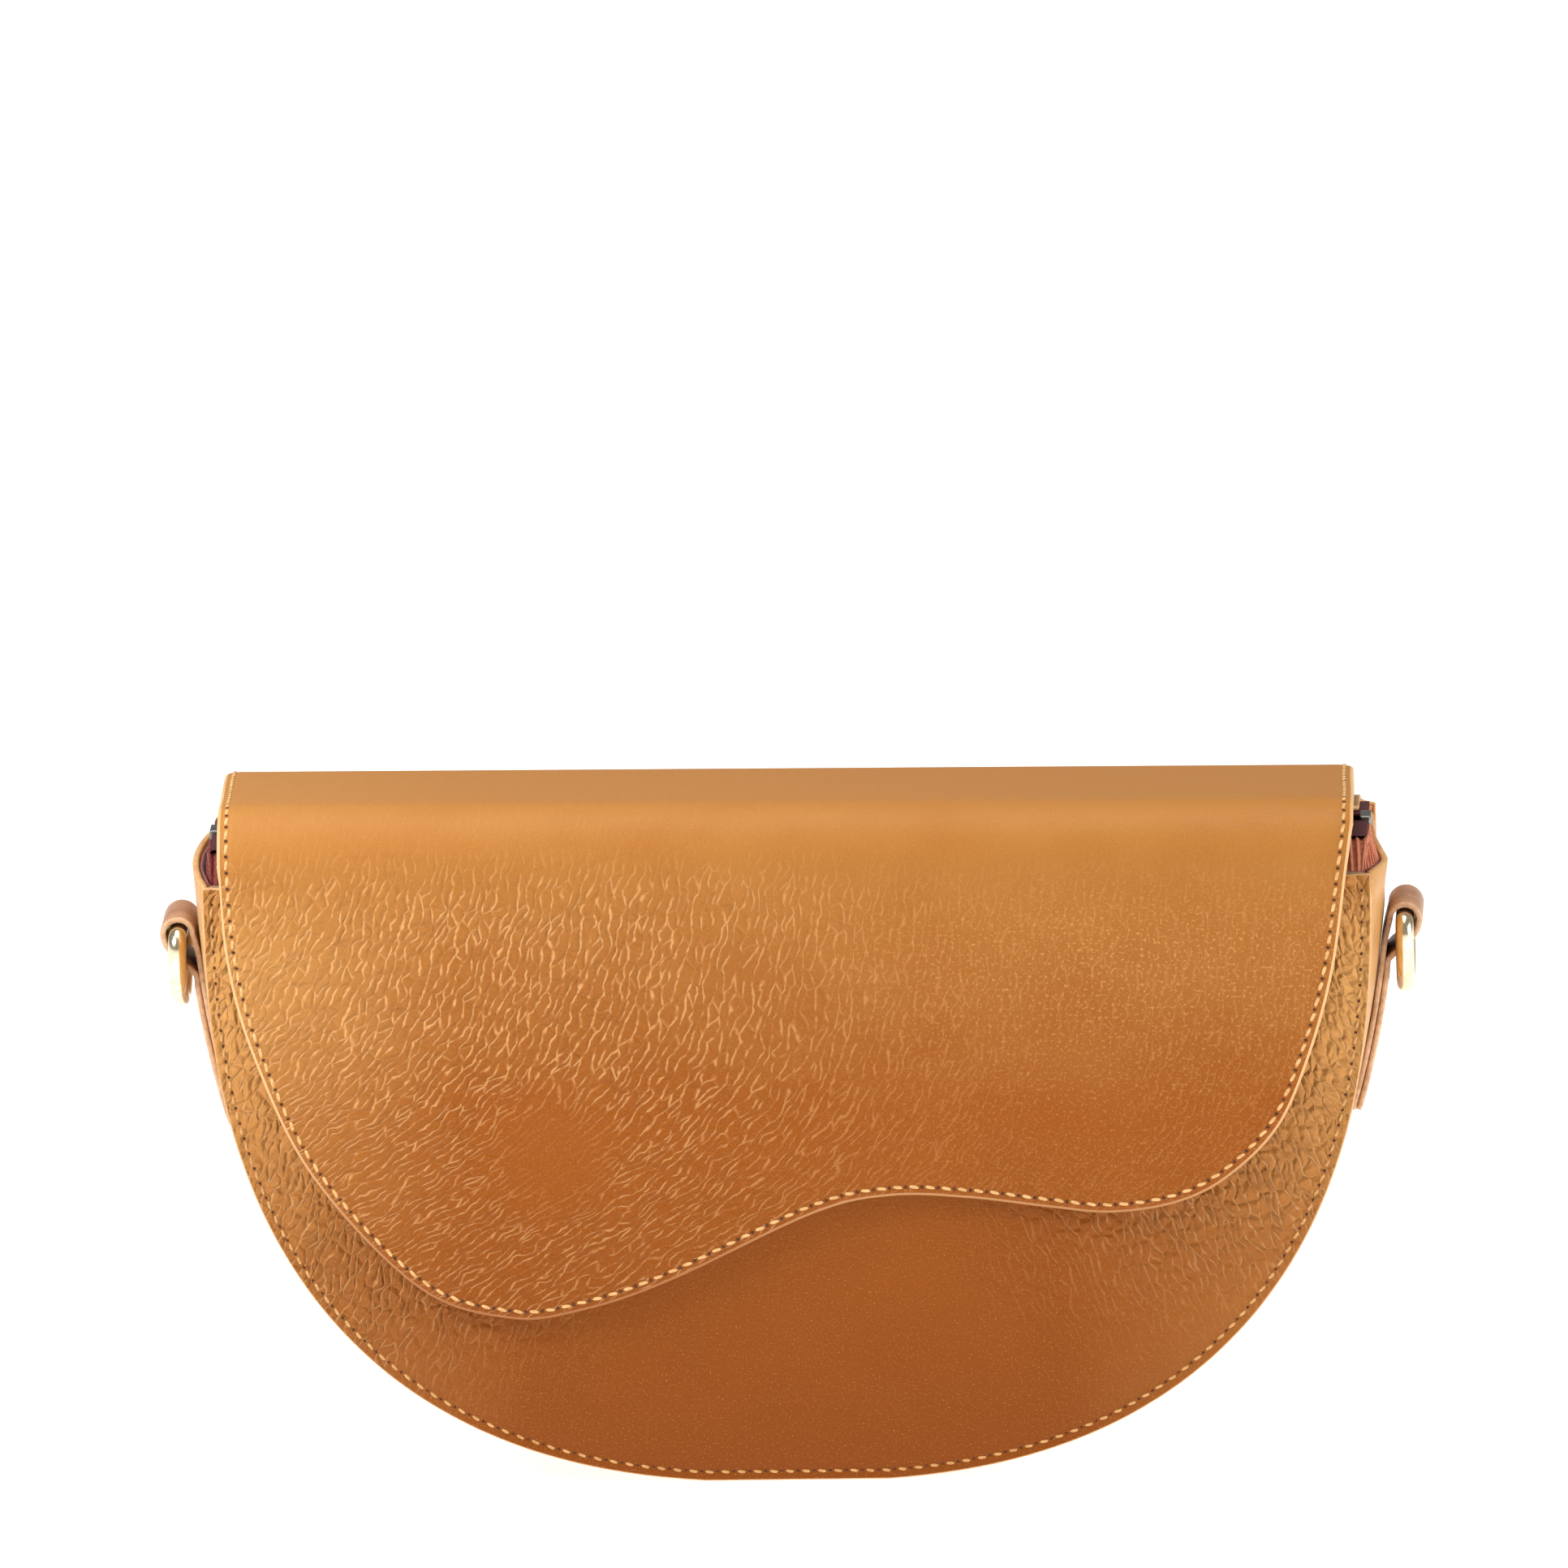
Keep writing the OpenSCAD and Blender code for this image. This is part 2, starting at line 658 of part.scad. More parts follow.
front_panel();
front_board();
front_lining();
back_panel();
back_board();
back_lining();
gusset();
gusset_lining();
flap_tail();
flap_top_leather();
flap_top_lining();
flap_front_leather();
flap_front_lining();
snap_sockets();
snap_magnets();
snap_socket_backplates();
snap_studs();
snap_stud_backplates();
zip_facing_front();
zip_facing_rear();
zip_tape_front();
zip_tape_rear();
zip_teeth_front();
zip_teeth_rear();
zip_stops();
zip_end_tabs();
zip_slider();
zip_puller();
side_tab_left();
side_tab_right();
ring_left();
ring_right();
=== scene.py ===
import math

import bmesh
import bpy
from mathutils import Matrix, Vector
from mathutils.kdtree import KDTree


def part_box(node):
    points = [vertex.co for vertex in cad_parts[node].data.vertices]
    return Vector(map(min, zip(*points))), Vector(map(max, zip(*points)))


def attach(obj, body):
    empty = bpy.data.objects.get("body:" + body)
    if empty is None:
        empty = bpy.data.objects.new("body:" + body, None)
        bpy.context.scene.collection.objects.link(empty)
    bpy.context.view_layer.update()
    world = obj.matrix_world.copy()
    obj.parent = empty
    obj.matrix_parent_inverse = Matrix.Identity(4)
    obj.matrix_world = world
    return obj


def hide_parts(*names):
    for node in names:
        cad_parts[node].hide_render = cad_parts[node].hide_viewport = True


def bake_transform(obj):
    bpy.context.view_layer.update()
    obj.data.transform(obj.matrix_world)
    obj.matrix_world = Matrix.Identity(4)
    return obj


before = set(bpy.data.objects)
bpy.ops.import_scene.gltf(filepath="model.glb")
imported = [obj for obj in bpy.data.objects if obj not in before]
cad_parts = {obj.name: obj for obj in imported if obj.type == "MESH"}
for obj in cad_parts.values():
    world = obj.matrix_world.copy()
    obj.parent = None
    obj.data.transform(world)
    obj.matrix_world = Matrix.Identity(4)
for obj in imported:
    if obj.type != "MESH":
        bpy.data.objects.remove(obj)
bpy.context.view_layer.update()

# A saddle handbag in tan pebbled leather. Sizes below are in millimetres, in the frame's axes:
# X to the right, Y to the back, Z up. The meshes are scaled to metres when they are made.
MM = 0.001


def node_box(node):
    """The lowest and highest corner of a CAD node in millimetres."""
    low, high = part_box(node)
    return low / MM, high / MM


PANEL_LOW, PANEL_HIGH = node_box("front_panel")
PANEL_HALF = PANEL_HIGH.x
PANEL_TOP = PANEL_HIGH.z
BACK_TOP = node_box("back_panel")[1].z
# The inner and the outer face of both panels, from the middle of the bag's depth
PANEL_FACE = -PANEL_HIGH.y
PANEL_FRONT = -PANEL_LOW.y
# The half-moon's curve has this power, where 2 is an ellipse, and its foot is pressed flat
FULLNESS = 2.52
FOOT_PRESS = 0.5
GUSSET_T = 1.4
# How far the gusset stands out at its rim
CROWN = 3.4
FLAP_LOW = node_box("flap_front_leather")[0]
TOP_HIGH = node_box("flap_top_leather")[1]
TAIL_LOW, TAIL_HIGH = node_box("flap_tail")
FLAP_HALF = TOP_HIGH.x
FLAP_FRONT = -FLAP_LOW.y
FLAP_BACK = TAIL_HIGH.y
# The flap's hide, and the hide with its lining
FLAP_T = 1.3
FLAP_STACK = 2.1
SHOULDER_TOP = TOP_HIGH.z
SHOULDER_R = 14.0
FOLD_R = 6.0
FOLD_TOP = SHOULDER_TOP - 3.5
FLAP_DROP = SHOULDER_TOP - FLAP_LOW.z
STITCH_PITCH = 3.5
# Where the snaps pull the flap in
SNAPS = ((-51.7, 74.6), (62.7, 85.7))
# The middle of the flap's top, up its hide, where the painted shading, darker toward the bottom,
# starts over toward the tail
HIDE_TURN = 182
# One unit of a piece's flat map is this much of the uncut hide
FLAT_UNIT = 100

# The camera comes first: it looks a little down on the front, from a little to the right.
CAMERA_AZIMUTH = math.radians(2.3)
CAMERA_HEIGHT = math.radians(12.0)
CAMERA_DISTANCE = 7.0
CAMERA_ROLL = math.radians(1.2)
AIM = Vector((-0.0012, 0.0, 0.1478))
FRAME_WIDTH = 0.3402


def make_camera():
    data = bpy.data.cameras.new("Camera")
    camera = bpy.data.objects.new("Camera", data)
    bpy.context.scene.collection.objects.link(camera)
    away = Vector((
        math.sin(CAMERA_AZIMUTH) * math.cos(CAMERA_HEIGHT),
        -math.cos(CAMERA_AZIMUTH) * math.cos(CAMERA_HEIGHT),
        math.sin(CAMERA_HEIGHT),
    ))
    turn = (-away).to_track_quat("-Z", "Y").to_matrix().to_4x4()
    place = Matrix.Translation(AIM + away * CAMERA_DISTANCE)
    camera.matrix_world = place @ turn @ Matrix.Rotation(-CAMERA_ROLL, 4, "Z")
    data.sensor_fit = "HORIZONTAL"
    data.angle = 2 * math.atan(FRAME_WIDTH / 2 / CAMERA_DISTANCE)
    data.clip_start = 0.05
    data.clip_end = 20
    bpy.context.scene.camera = camera


make_camera()


# Materials

def linear(hex_colour):
    """An sRGB hex colour as linear RGBA."""
    parts = [int(hex_colour[i:i + 2], 16) / 255 for i in (1, 3, 5)]
    return tuple(c / 12.92 if c <= 0.04045 else ((c + 0.055) / 1.055) ** 2.4 for c in parts) + (1,)


def add(material, kind, inputs=(), out=0, **settings):
    """Adds a node with its settings and inputs, each a socket, a number or a hex colour. The
    inputs are in the node's own order or by name or number. Gives one of its outputs."""
    node = material.node_tree.nodes.new("ShaderNode" + kind)
    for name, value in settings.items():
        setattr(node, name, value)
    for socket, value in inputs.items() if isinstance(inputs, dict) else enumerate(inputs):
        if isinstance(value, bpy.types.NodeSocket):
            material.node_tree.links.new(value, node.inputs[socket])
        elif isinstance(value, str):
            node.inputs[socket].default_value = linear(value)
        else:
            node.inputs[socket].default_value = value
    return node.outputs[out] if len(node.outputs) else node


def new_material(name, **values):
    """A material with one principled shader, whose constant inputs are set here."""
    material = bpy.data.materials.new(name)
    material.use_nodes = True
    material.node_tree.nodes.clear()
    shader = add(material, "BsdfPrincipled")
    add(material, "OutputMaterial", {"Surface": shader})
    for name, value in values.items():
        shader.node.inputs[name.replace("_", " ")].default_value = value
    return material, shader.node


def finish_material(material, shader, colour, grain, rough, height, depth):
    """Gives the shader its colour, a roughness between two values that follows a grain, and a
    bump of that depth in millimetres."""
    gloss = add(material, "MapRange", (grain, 0.3, 0.7, rough[0], rough[1]))
    bump = add(material, "Bump", {"Height": height, "Distance": depth * MM, "Strength": 1.0})
    for name, source in (("Base Color", colour), ("Roughness", gloss), ("Normal", bump)):
        material.node_tree.links.new(source, shader.inputs[name])
    return material


def hide_place(m):
    """The place on the uncut hide, in millimetres."""
    flat = add(m, "UVMap", uv_map="Flat")
    return add(m, "VectorMath", (flat, (FLAT_UNIT, FLAT_UNIT, 0)), operation="MULTIPLY")


EVEN = "LINEAR"
SOFT = "SMOOTHSTEP"


def fade(m, value, *spans):
    """Multiplies a value by a share for each span: what it goes by, two levels of that, the
    share at each, and how it runs between them."""
    for source, low, high, at_low, at_high, run in spans:
        span = (source, low, high, at_low, at_high)
        share = add(m, "MapRange", span, interpolation_type=run)
        value = add(m, "Math", (value, share), operation="MULTIPLY")
    return value


def crease_flow(m, where, x, z):
    """How the creases lie on a piece of hide: the way along them and the way across them, both
    in millimetres, and how strong they are."""
    if where == "flap":
        # The creases stand upright under the shoulder and lie over toward the lower left. They
        # fade on the top, to the right and where the snaps are pressed in, and come back on
        # the tail.
        lean = fade(m, 1, (z, 30, 140, 0.3, 0, SOFT))
        left = add(m, "Math", (x, 10, 30), operation="SMOOTH_MIN")
        shift = add(m, "Math", (lean, left), operation="MULTIPLY")
        along = add(m, "Math", (shift, 1.16, z), operation="MULTIPLY_ADD")
        low = add(m, "Math", (84, z), operation="SUBTRACT")
        low = add(m, "Math", (low, 0, 30), operation="SMOOTH_MAX")
        slope = add(m, "Math", (low, -4.8, z), operation="MULTIPLY_ADD")
        across = add(m, "Math", (slope, 0.17, shift), operation="MULTIPLY_ADD")
        across = add(m, "Math", (x, across), operation="SUBTRACT")
        strength = fade(
            m, 1, (x, -50, 46, 1, 0.2, SOFT), (z, 48, 104, 0.58, 1.05, EVEN),
            (z, 126, 144, 1, 0.05, SOFT),
        )
        tail = fade(m, 1, (z, 210, 222, 0, 0.38, SOFT))
        strength = add(m, "Math", (strength, tail), operation="ADD")
        place = add(m, "CombineXYZ", (x, z))
        for centre in SNAPS:
            away = add(m, "VectorMath", (place, (*centre, 0)), "Value", operation="DISTANCE")
            strength = fade(m, strength, (away, 5, 22, 0.1, 1, SOFT))
        return along, across, strength
    # On the panels they lean in toward the middle from both sides. On the front one they are
    # squeezed into deep wrinkles beside the flap's edge, and fade toward the bottom.
    side = add(m, "Math", (x,), operation="ABSOLUTE")
    along = add(m, "Math", (side, -0.4, z), operation="MULTIPLY_ADD")
    across = add(m, "Math", (z, 0.4, side), operation="MULTIPLY_ADD")
    if where == "front":
        rise = add(m, "Math", (x, -0.1, z), operation="MULTIPLY_ADD")
        strength = fade(m, 1, (side, 30, 96, 0.06, 1.9, SOFT), (rise, 18, 56, 0.1, 1, SOFT))
    else:
        strength = fade(m, 1, (side, 0, 120, 0.5, 0.6, SOFT))
    return along, across, strength


def creases(m, along, across, length, width):
    """Creases round cells of that length and width in millimetres: how far each place is from
    the nearest one, and how far that crease runs along the cells, from 0 to 1."""
    cells = add(m, "CombineXYZ", (along, across))
    cells = add(m, "VectorMath", (cells, (1 / length, 1 / width, 0)), operation="MULTIPLY")
    squares, centres = [], []
    for feature in ("F1", "F2"):
        away = add(
            m, "TexVoronoi", {"Vector": cells, "Scale": 1.0, "Randomness": 0.8}, "Distance",
            feature=feature, voronoi_dimensions="2D",
        )
        squares.append(add(m, "Math", (away, away), operation="MULTIPLY"))
        centres.append(away.node.outputs["Position"])
    fall = add(m, "Math", (squares[1], squares[0]), operation="SUBTRACT")
    way = add(m, "VectorMath", (centres[1], centres[0]), operation="SUBTRACT")
    way = add(m, "VectorMath", (way, (2 / length, 2 / width, 0)), operation="MULTIPLY")
    steep = add(m, "VectorMath", (way,), "Value", operation="LENGTH")
    away = add(m, "Math", (fall, steep), operation="DIVIDE")
    sideways = add(m, "SeparateXYZ", (way,), "Y")
    sideways = add(m, "Math", (sideways,), operation="ABSOLUTE")
    return away, add(m, "Math", (sideways, steep), operation="DIVIDE")


# The cells that the hide creases round
CREASE_LENGTH = 4.6
CREASE_WIDTH = 1.95


# Tan cowhide, drum dyed and lightly milled: short creases, painted paler than the hide as painted
# highlights where they catch the light, a fine pore grain between them, and a satin finish. Painted
# light and shade also make it lighter toward the top and on the left side, and darker toward the
# bottom.
def pebbled_cowhide(name, where):
    m, shader = new_material(name, Coat_Weight=0.02, Coat_Roughness=0.4, Specular_IOR_Level=0.12)
    is_flap = where == "flap"
    place = hide_place(m)
    # No crease is straight: all of them wander by up to 2.5 mm, in waves of about 8 mm
    drift = add(m, "TexNoise", {"Vector": place, "Scale": 0.12, "Detail": 3}, "Color")
    off = add(m, "VectorMath", (drift, (5, 5, 0), (-2.5, -2.5, 0)), operation="MULTIPLY_ADD")
    bent = add(m, "VectorMath", (place, off), operation="ADD")
    x = add(m, "SeparateXYZ", (bent,))
    z = x.node.outputs[1]
    along, across, strength = crease_flow(m, where, x, z)
    # The creases break off in patches of about 3 mm, and one that runs across the cells is faint
    away, run = creases(m, along, across, CREASE_LENGTH, CREASE_WIDTH)
    patch = add(m, "TexNoise", {"Vector": place, "Scale": 0.34, "Detail": 2})
    line = fade(
        m, strength, (away, 0, 0.42, 1, 0, SOFT), (patch, 0.4, 0.56, 0.08, 1, EVEN),
        (run, 0.55, 0.96, 0.05, 1, SOFT),
    )
    # Between them the hide swells up, with lumps of about 1.8 mm
    swell = fade(m, 1, (away, -0.2, 1.4, 0, 1, SOFT))
    lumps = add(
        m, "TexVoronoi", {"Vector": bent, "Scale": 0.55}, voronoi_dimensions="2D",
        feature="SMOOTH_F1",
    )
    swell = add(m, "Math", (lumps, -1.1, swell), operation="MULTIPLY_ADD")
    swell = add(m, "Math", (swell, strength), operation="MULTIPLY")
    # Pores about 0.8 mm apart, and a grain of 0.4 mm, both drawn coarser than real to show
    pores = add(m, "TexVoronoi", {"Vector": bent, "Scale": 1 / 0.8}, voronoi_dimensions="2D")
    fine = add(m, "TexNoise", {"Vector": place, "Scale": 2.4, "Detail": 3})
    specks = fade(m, 1, (fine, 0.58, 0.72, 0, 0.4, EVEN))
    # The hide is painted darker toward the bottom and lighter toward the top, as painted shade and
    # light, on both sides of the flap's top; its tone is mottled in clouds of about 20 mm
    mottle = add(m, "TexNoise", {"Vector": place, "Scale": 0.05, "Detail": 4})
    level = add(m, "Math", (z, HIDE_TURN), operation="PINGPONG")
    level = add(m, "Math", (mottle, 34, level), operation="MULTIPLY_ADD")
    middle = fade(m, 1, (level, 30, 95, 0, 1, EVEN))
    top_light_paint = fade(m, 1, (level, 100, 170, 0, 1, EVEN))
    # It is painted paler on the flap's left side and on both flanks of the panels, as painted light
    side = add(m, "Math", (x, -1), operation="MULTIPLY" if is_flap else "ABSOLUTE")
    near, far, most = (70, 120, 0.45) if is_flap else (58, 114, 0.85)
    side_light_paint = fade(
        m, 1, (side, near, far, 0, most, EVEN), (z, 50, 105, 0.27, 1, EVEN),
        (z, 118, 134, 1, 0.2, EVEN),
    )
    # The creases' painted highlight: a paler colour along them
    most = 0.68 if is_flap else 0.24
    crease_highlight = add(m, "Math", (line, most), operation="MULTIPLY", use_clamp=True)
    # Pale flecks of about 0.7 mm take over from the creases on the flap's right side
    flecks = add(m, "TexNoise", {"Vector": place, "Scale": 1.4, "Detail": 1})
    flecks = fade(
        m, 1, (flecks, 0.56, 0.7, 0, 1, SOFT), (x, -30, 70, 0, 0.5 if is_flap else 0, SOFT),
        (z, 80, 116, 0.35, 1, EVEN), (z, 120, 138, 1, 0.1, EVEN),
    )
    # The hide's colour: painted shade toward the bottom, painted light toward the top and on the
    # sides, painted highlights on the creases, and pale flecks and specks
    hide = "#84420A"
    for share, colour in (
        (middle, "#934E12"), (top_light_paint, "#AE7436"), (side_light_paint, "#D09C58" if is_flap else "#CF9654"),
        (crease_highlight, "#E8AE70"), (flecks, "#DC9C58"), (specks, "#D0904C"),
    ):
        hide = add(m, "Mix", {0: share, 6: hide, 7: colour}, 2, data_type="RGBA")
    height = 0
    for source, depth in (
        (line, -0.12), (swell, 0.37), (pores, 0.06), (fine, 0.05), (flecks, 0.12)
    ):
        height = add(m, "Math", (source, depth, height), operation="MULTIPLY_ADD")
    return finish_material(m, shader, hide, fine, (0.42, 0.54), height, 1.0)


# A plain stuff with a fine grain: its colour varies with noise of the same grain size, in
# millimetres, that its bump has.
def grained(name, light, dark, grain, depth, rough, stretch=(1, 1, 1), **values):
    m, shader = new_material(name, **values)
    where = add(m, "TexCoord", out="Object")
    size = tuple(s / grain / MM for s in stretch)
    place = add(m, "VectorMath", (where, size), operation="MULTIPLY")
    noise = add(m, "TexNoise", {"Vector": place, "Scale": 1, "Detail": 3})
    broad = add(m, "TexNoise", {"Vector": place, "Scale": 0.12, "Detail": 2})
    share = add(m, "Math", (noise, broad), operation="ADD")
    share = fade(m, 1, (share, 0.75, 1.25, 0, 1, EVEN))
    colour = add(m, "Mix", {0: share, 6: dark, 7: light}, 2, data_type="RGBA")
    return finish_material(m, shader, colour, noise, (0.9 * rough, 1.1 * rough), noise, depth)


# Woven cloth: warp and weft bands over and under each other, a pitch apart in millimetres. The
# real threads are about half as far apart, too fine to show.
def woven(name, light, dark, pitch, depth, rough, axes=(0, 1), **values):
    m, shader = new_material(name, **values)
    where = add(m, "TexCoord", out="Object")
    place = add(m, "VectorMath", (where, (1 / MM,) * 3), operation="MULTIPLY")
    x = add(m, "SeparateXYZ", (place,))
    waves = []
    for axis in axes:
        turn = add(m, "Math", (x.node.outputs[axis], math.pi / pitch), operation="MULTIPLY")
        waves.append(add(m, "Math", (turn,), operation="SINE"))
    weave = add(m, "Math", waves, operation="MULTIPLY")
    weave = fade(m, 1, (weave, -1, 1, 0, 1, EVEN))
    fuzz = add(m, "TexNoise", {"Vector": place, "Scale": 1.5 / pitch, "Detail": 3})
    weave = add(m, "Math", (weave, 0.5, fuzz), operation="MULTIPLY_ADD")
    weave = fade(m, 1, (weave, 0.3, 1.2, 0, 1, EVEN))
    colour = add(m, "Mix", {0: weave, 6: dark, 7: light}, 2, data_type="RGBA")
    return finish_material(m, shader, colour, fuzz, (0.9 * rough, 1.1 * rough), weave, depth)


# The edge paint on the flap, painted browner along its low front edge as painted shade where it
# faces down
def shaded_edge_paint(name):
    m, shader = new_material(name)
    place = hide_place(m)
    share = add(m, "SeparateXYZ", (place,), "Y")
    share = fade(m, 1, (share, 42, 98, 0, 1, SOFT))
    paint = add(m, "Mix", {0: share, 6: "#A0622A", 7: "#D8A870"}, 2, data_type="RGBA")
    grain = add(m, "TexNoise", {"Vector": place, "Scale": 1.0, "Detail": 3})
    return finish_material(m, shader, paint, grain, (0.42, 0.52), grain, 0.03)


FLAP_HIDE = pebbled_cowhide("Pebbled_cowhide_flap", "flap")
FRONT_HIDE = pebbled_cowhide("Pebbled_cowhide_front", "front")
BACK_HIDE = pebbled_cowhide("Pebbled_cowhide_back", "back")
# The same cowhide plated flat: even and satin, so that only its pores show
SMOOTH_HIDE = grained("Smooth_cowhide", "#C68E48", "#BA823E", 0.5, 0.03, 0.5, Coat_Weight=0.1)
# Acrylic edge paint rolled on cut edges: pale, slightly domed and satin
EDGE_PAINT = grained("Edge_paint", "#D8A870", "#C08C50", 1.2, 0.03, 0.45)
# The flap's edge paint, with painted shade along its low front edge
FLAP_PAINT = shaded_edge_paint("Edge_paint_painted_shade")
# Split hide with a brushed nap, which lines the flap: matt and soft like suede
FLAP_SPLIT = grained("Flap_lining_split", "#B0642C", "#96491C", 0.3, 0.05, 0.85, Sheen_Weight=0.3)
# Waxed polyester thread of three twisted plies, which show as fine ridges
THREAD = grained("Waxed_thread", "#E6BA7E", "#C8924E", 0.25, 0.05, 0.55, (1, 1, 2.5))
# The same thread where it has taken up the dye at the panels' edges: darker and duller
PANEL_THREAD = grained("Dyed_thread", "#DCAA6A", "#BA8448", 0.25, 0.05, 0.6, (1, 1, 2.5))
# Spun brown thread on the side tabs, close to the hide's own colour
TAB_THREAD = grained("Tab_thread", "#A87850", "#7E5638", 0.25, 0.05, 0.6)
# A needle hole, drawn as a dark matt disc: painted shade of the hole over its raw fibres
HOLE = grained("Needle_hole_painted_shade", "#5C3214", "#40200A", 0.3, 0.02, 0.9)
# The side tabs' hide, dyed browner and plated: satin, with fine pores
TAB_HIDE = grained("Tab_cowhide", "#B98A66", "#96684A", 0.6, 0.05, 0.5, Coat_Weight=0.1)
# Dark red cotton lining in a plain weave: matt, with a fine grid of threads
LINING = woven("Cotton_lining", "#9A4030", "#5E1E18", 0.5, 0.12, 0.9, (0, 2), Sheen_Weight=0.2)
# Wine red polyester zip tape, woven tight: dull, with a fine grid of threads
ZIP_TAPE = woven("Zip_tape", "#5A2226", "#361216", 0.45, 0.1, 0.8)
# Fibreboard stiffeners, pressed from pulp: brown and matt
BOARD = grained("Fibreboard", "#9A8266", "#7C6650", 0.8, 0.04, 0.9)
# Aluminium zip teeth, stamped and polished, so that they glint along their edges
TEETH = grained("Aluminium_teeth", "#E6E6E2", "#C8C8C4", 0.4, 0.01, 0.25, Metallic=1.0)
# Light gold plated zinc, cast and tumbled: a pale and even mirror
GOLD = grained("Light_gold_plating", "#F2E6CA", "#E4D2A8", 0.8, 0.001, 0.2, Metallic=1.0)
# Nickel plated steel, stamped and tumbled: a dull grey
STEEL = grained("Nickel_plated_steel", "#8E8C88", "#6E6C68", 0.6, 0.01, 0.34, Metallic=1.0)
# Ring magnet, sintered and ground: dark and faintly grainy
MAGNET = grained("Sintered_magnet", "#56565A", "#3A3A3E", 0.3, 0.02, 0.5, Metallic=0.8)


# Meshes

def smooth_step(value, low, high):
    """Goes from 0 to 1 between two levels, and starts and stops gently."""
    t = min(max((value - low) / (high - low), 0.0), 1.0)
    return t * t * (3 - 2 * t)


def direction(turn):
    """The way in a plane at that turn from its first axis."""
    return Vector((math.cos(turn), math.sin(turn)))


def even_steps(first, last, steps):
    """Evenly spaced values from the first to the last."""
    return [first + (last - first) * i / steps for i in range(steps + 1)]


def arc(x, y, radius, start, end, steps):
    """Places on an arc round (x, y), from one turn to another."""
    return [
        (x + radius * math.cos(turn), y + radius * math.sin(turn))
        for turn in even_steps(start, end, steps)
    ]


def lengths_along(line):
    """How far each point of a line is from its start, along it."""
    lengths = [0.0]
    for a, b in zip(line, line[1:]):
        lengths.append(lengths[-1] + (b - a).length)
    return lengths


def left_of(line, i):
    """The way that points to the left of a flat line at one of its points."""
    way = (line[min(i + 1, len(line) - 1)] - line[max(i - 1, 0)]).normalized()
    return Vector((-way.y, way.x))


def mesh_piece(name, points, faces, materials, flats=None, face_materials=None):
    """A smooth mesh from points in millimetres, with the place of each on the uncut hide."""
    mesh = bpy.data.meshes.new(name)
    mesh.from_pydata([Vector(p) * MM for p in points], [], faces)
    for material in materials:
        mesh.materials.append(material)
    mesh.polygons.foreach_set("use_smooth", [True] * len(mesh.polygons))
    if face_materials:
        mesh.polygons.foreach_set("material_index", face_materials)
    if flats:
        layer = mesh.uv_layers.new(name="Flat")
        for loop in mesh.loops:
            u, v = flats[loop.vertex_index]
            layer.data[loop.index].uv = (u / FLAT_UNIT, v / FLAT_UNIT)
    piece = bpy.data.objects.new(name, mesh)
    bpy.context.scene.collection.objects.link(piece)
    return piece


def grid_faces(rows, columns, first=0, closed=False, looped=False):
    """Faces of a grid that is stored row by row. A closed one joins the ends of its rows, and a
    looped one its last row to its first."""
    return [
        tuple(
            first + (i + up) % rows * columns + (j + on) % columns
            for up, on in ((0, 0), (0, 1), (1, 1), (1, 0))
        )
        for i in range(rows if looped else rows - 1)
        for j in range(columns if closed else columns - 1)
    ]


def fan_faces(rows, columns, closed=False):
    """Faces of a grid whose last row runs on to one more point."""
    last = (rows - 1) * columns
    return grid_faces(rows, columns, closed=closed) + [
        (last + i, last + (i + 1) % columns, last + columns)
        for i in range(columns if closed else columns - 1)
    ]


# A cut edge is rounded in this many steps
EDGE_STEPS = 5


def hide_sheet(name, points, faces, thickness, bulge, materials, flats, over=False, is_open=None):
    """A sheet of leather or cloth from its outer face, which is turned over where asked: a
    second face a thickness below, and a rounded cut edge between them, which has the second
    material and stands out by bulge. It has no edge where a place is open."""
    if over:
        faces = [tuple(reversed(f)) for f in faces]
    shape = bmesh.new()
    corners = [shape.verts.new(p) for p in points]
    for face in faces:
        shape.faces.new([corners[i] for i in face])
    shape.verts.index_update()
    shape.normal_update()
    count = len(points)
    out_points = [Vector(p) for p in points]
    out_points += [Vector(p) - v.normal * thickness for p, v in zip(points, corners)]
    out_flats = list(flats) * 2
    out_faces = faces + [tuple(count + i for i in reversed(f)) for f in faces]
    kinds = [0] * len(faces) + [2 if len(materials) > 2 else 0] * len(faces)
    outward = {}
    edges = []
    for edge in shape.edges:
        if not edge.is_boundary:
            continue
        loop = edge.link_loops[0]
        i, j = loop.vert.index, loop.link_loop_next.vert.index
        if is_open and is_open(points[i]) and is_open(points[j]):
            continue
        along = (out_points[j] - out_points[i]).normalized()
        side = along.cross(loop.face.normal)
        edges.append((i, j))
        outward[i] = outward.get(i, Vector()) + side
        outward[j] = outward.get(j, Vector()) + side
    shape.free()
    rings = {}
    for i, side in outward.items():
        middle = (out_points[i] + out_points[count + i]) / 2
        half = (out_points[i] - out_points[count + i]) / 2
        side = side.normalized() * bulge
        ring = [i]
        for step in range(1, EDGE_STEPS):
            turn = math.pi * step / EDGE_STEPS
            ring.append(len(out_points))
            out_points.append(middle + half * math.cos(turn) + side * math.sin(turn))
            out_flats.append(flats[i])
        rings[i] = ring + [count + i]
    for i, j in edges:
        for k in range(EDGE_STEPS):
            out_faces.append((rings[j][k], rings[i][k], rings[i][k + 1], rings[j][k + 1]))
            kinds.append(1)
    return mesh_piece(name, out_points, out_faces, materials, out_flats, kinds)


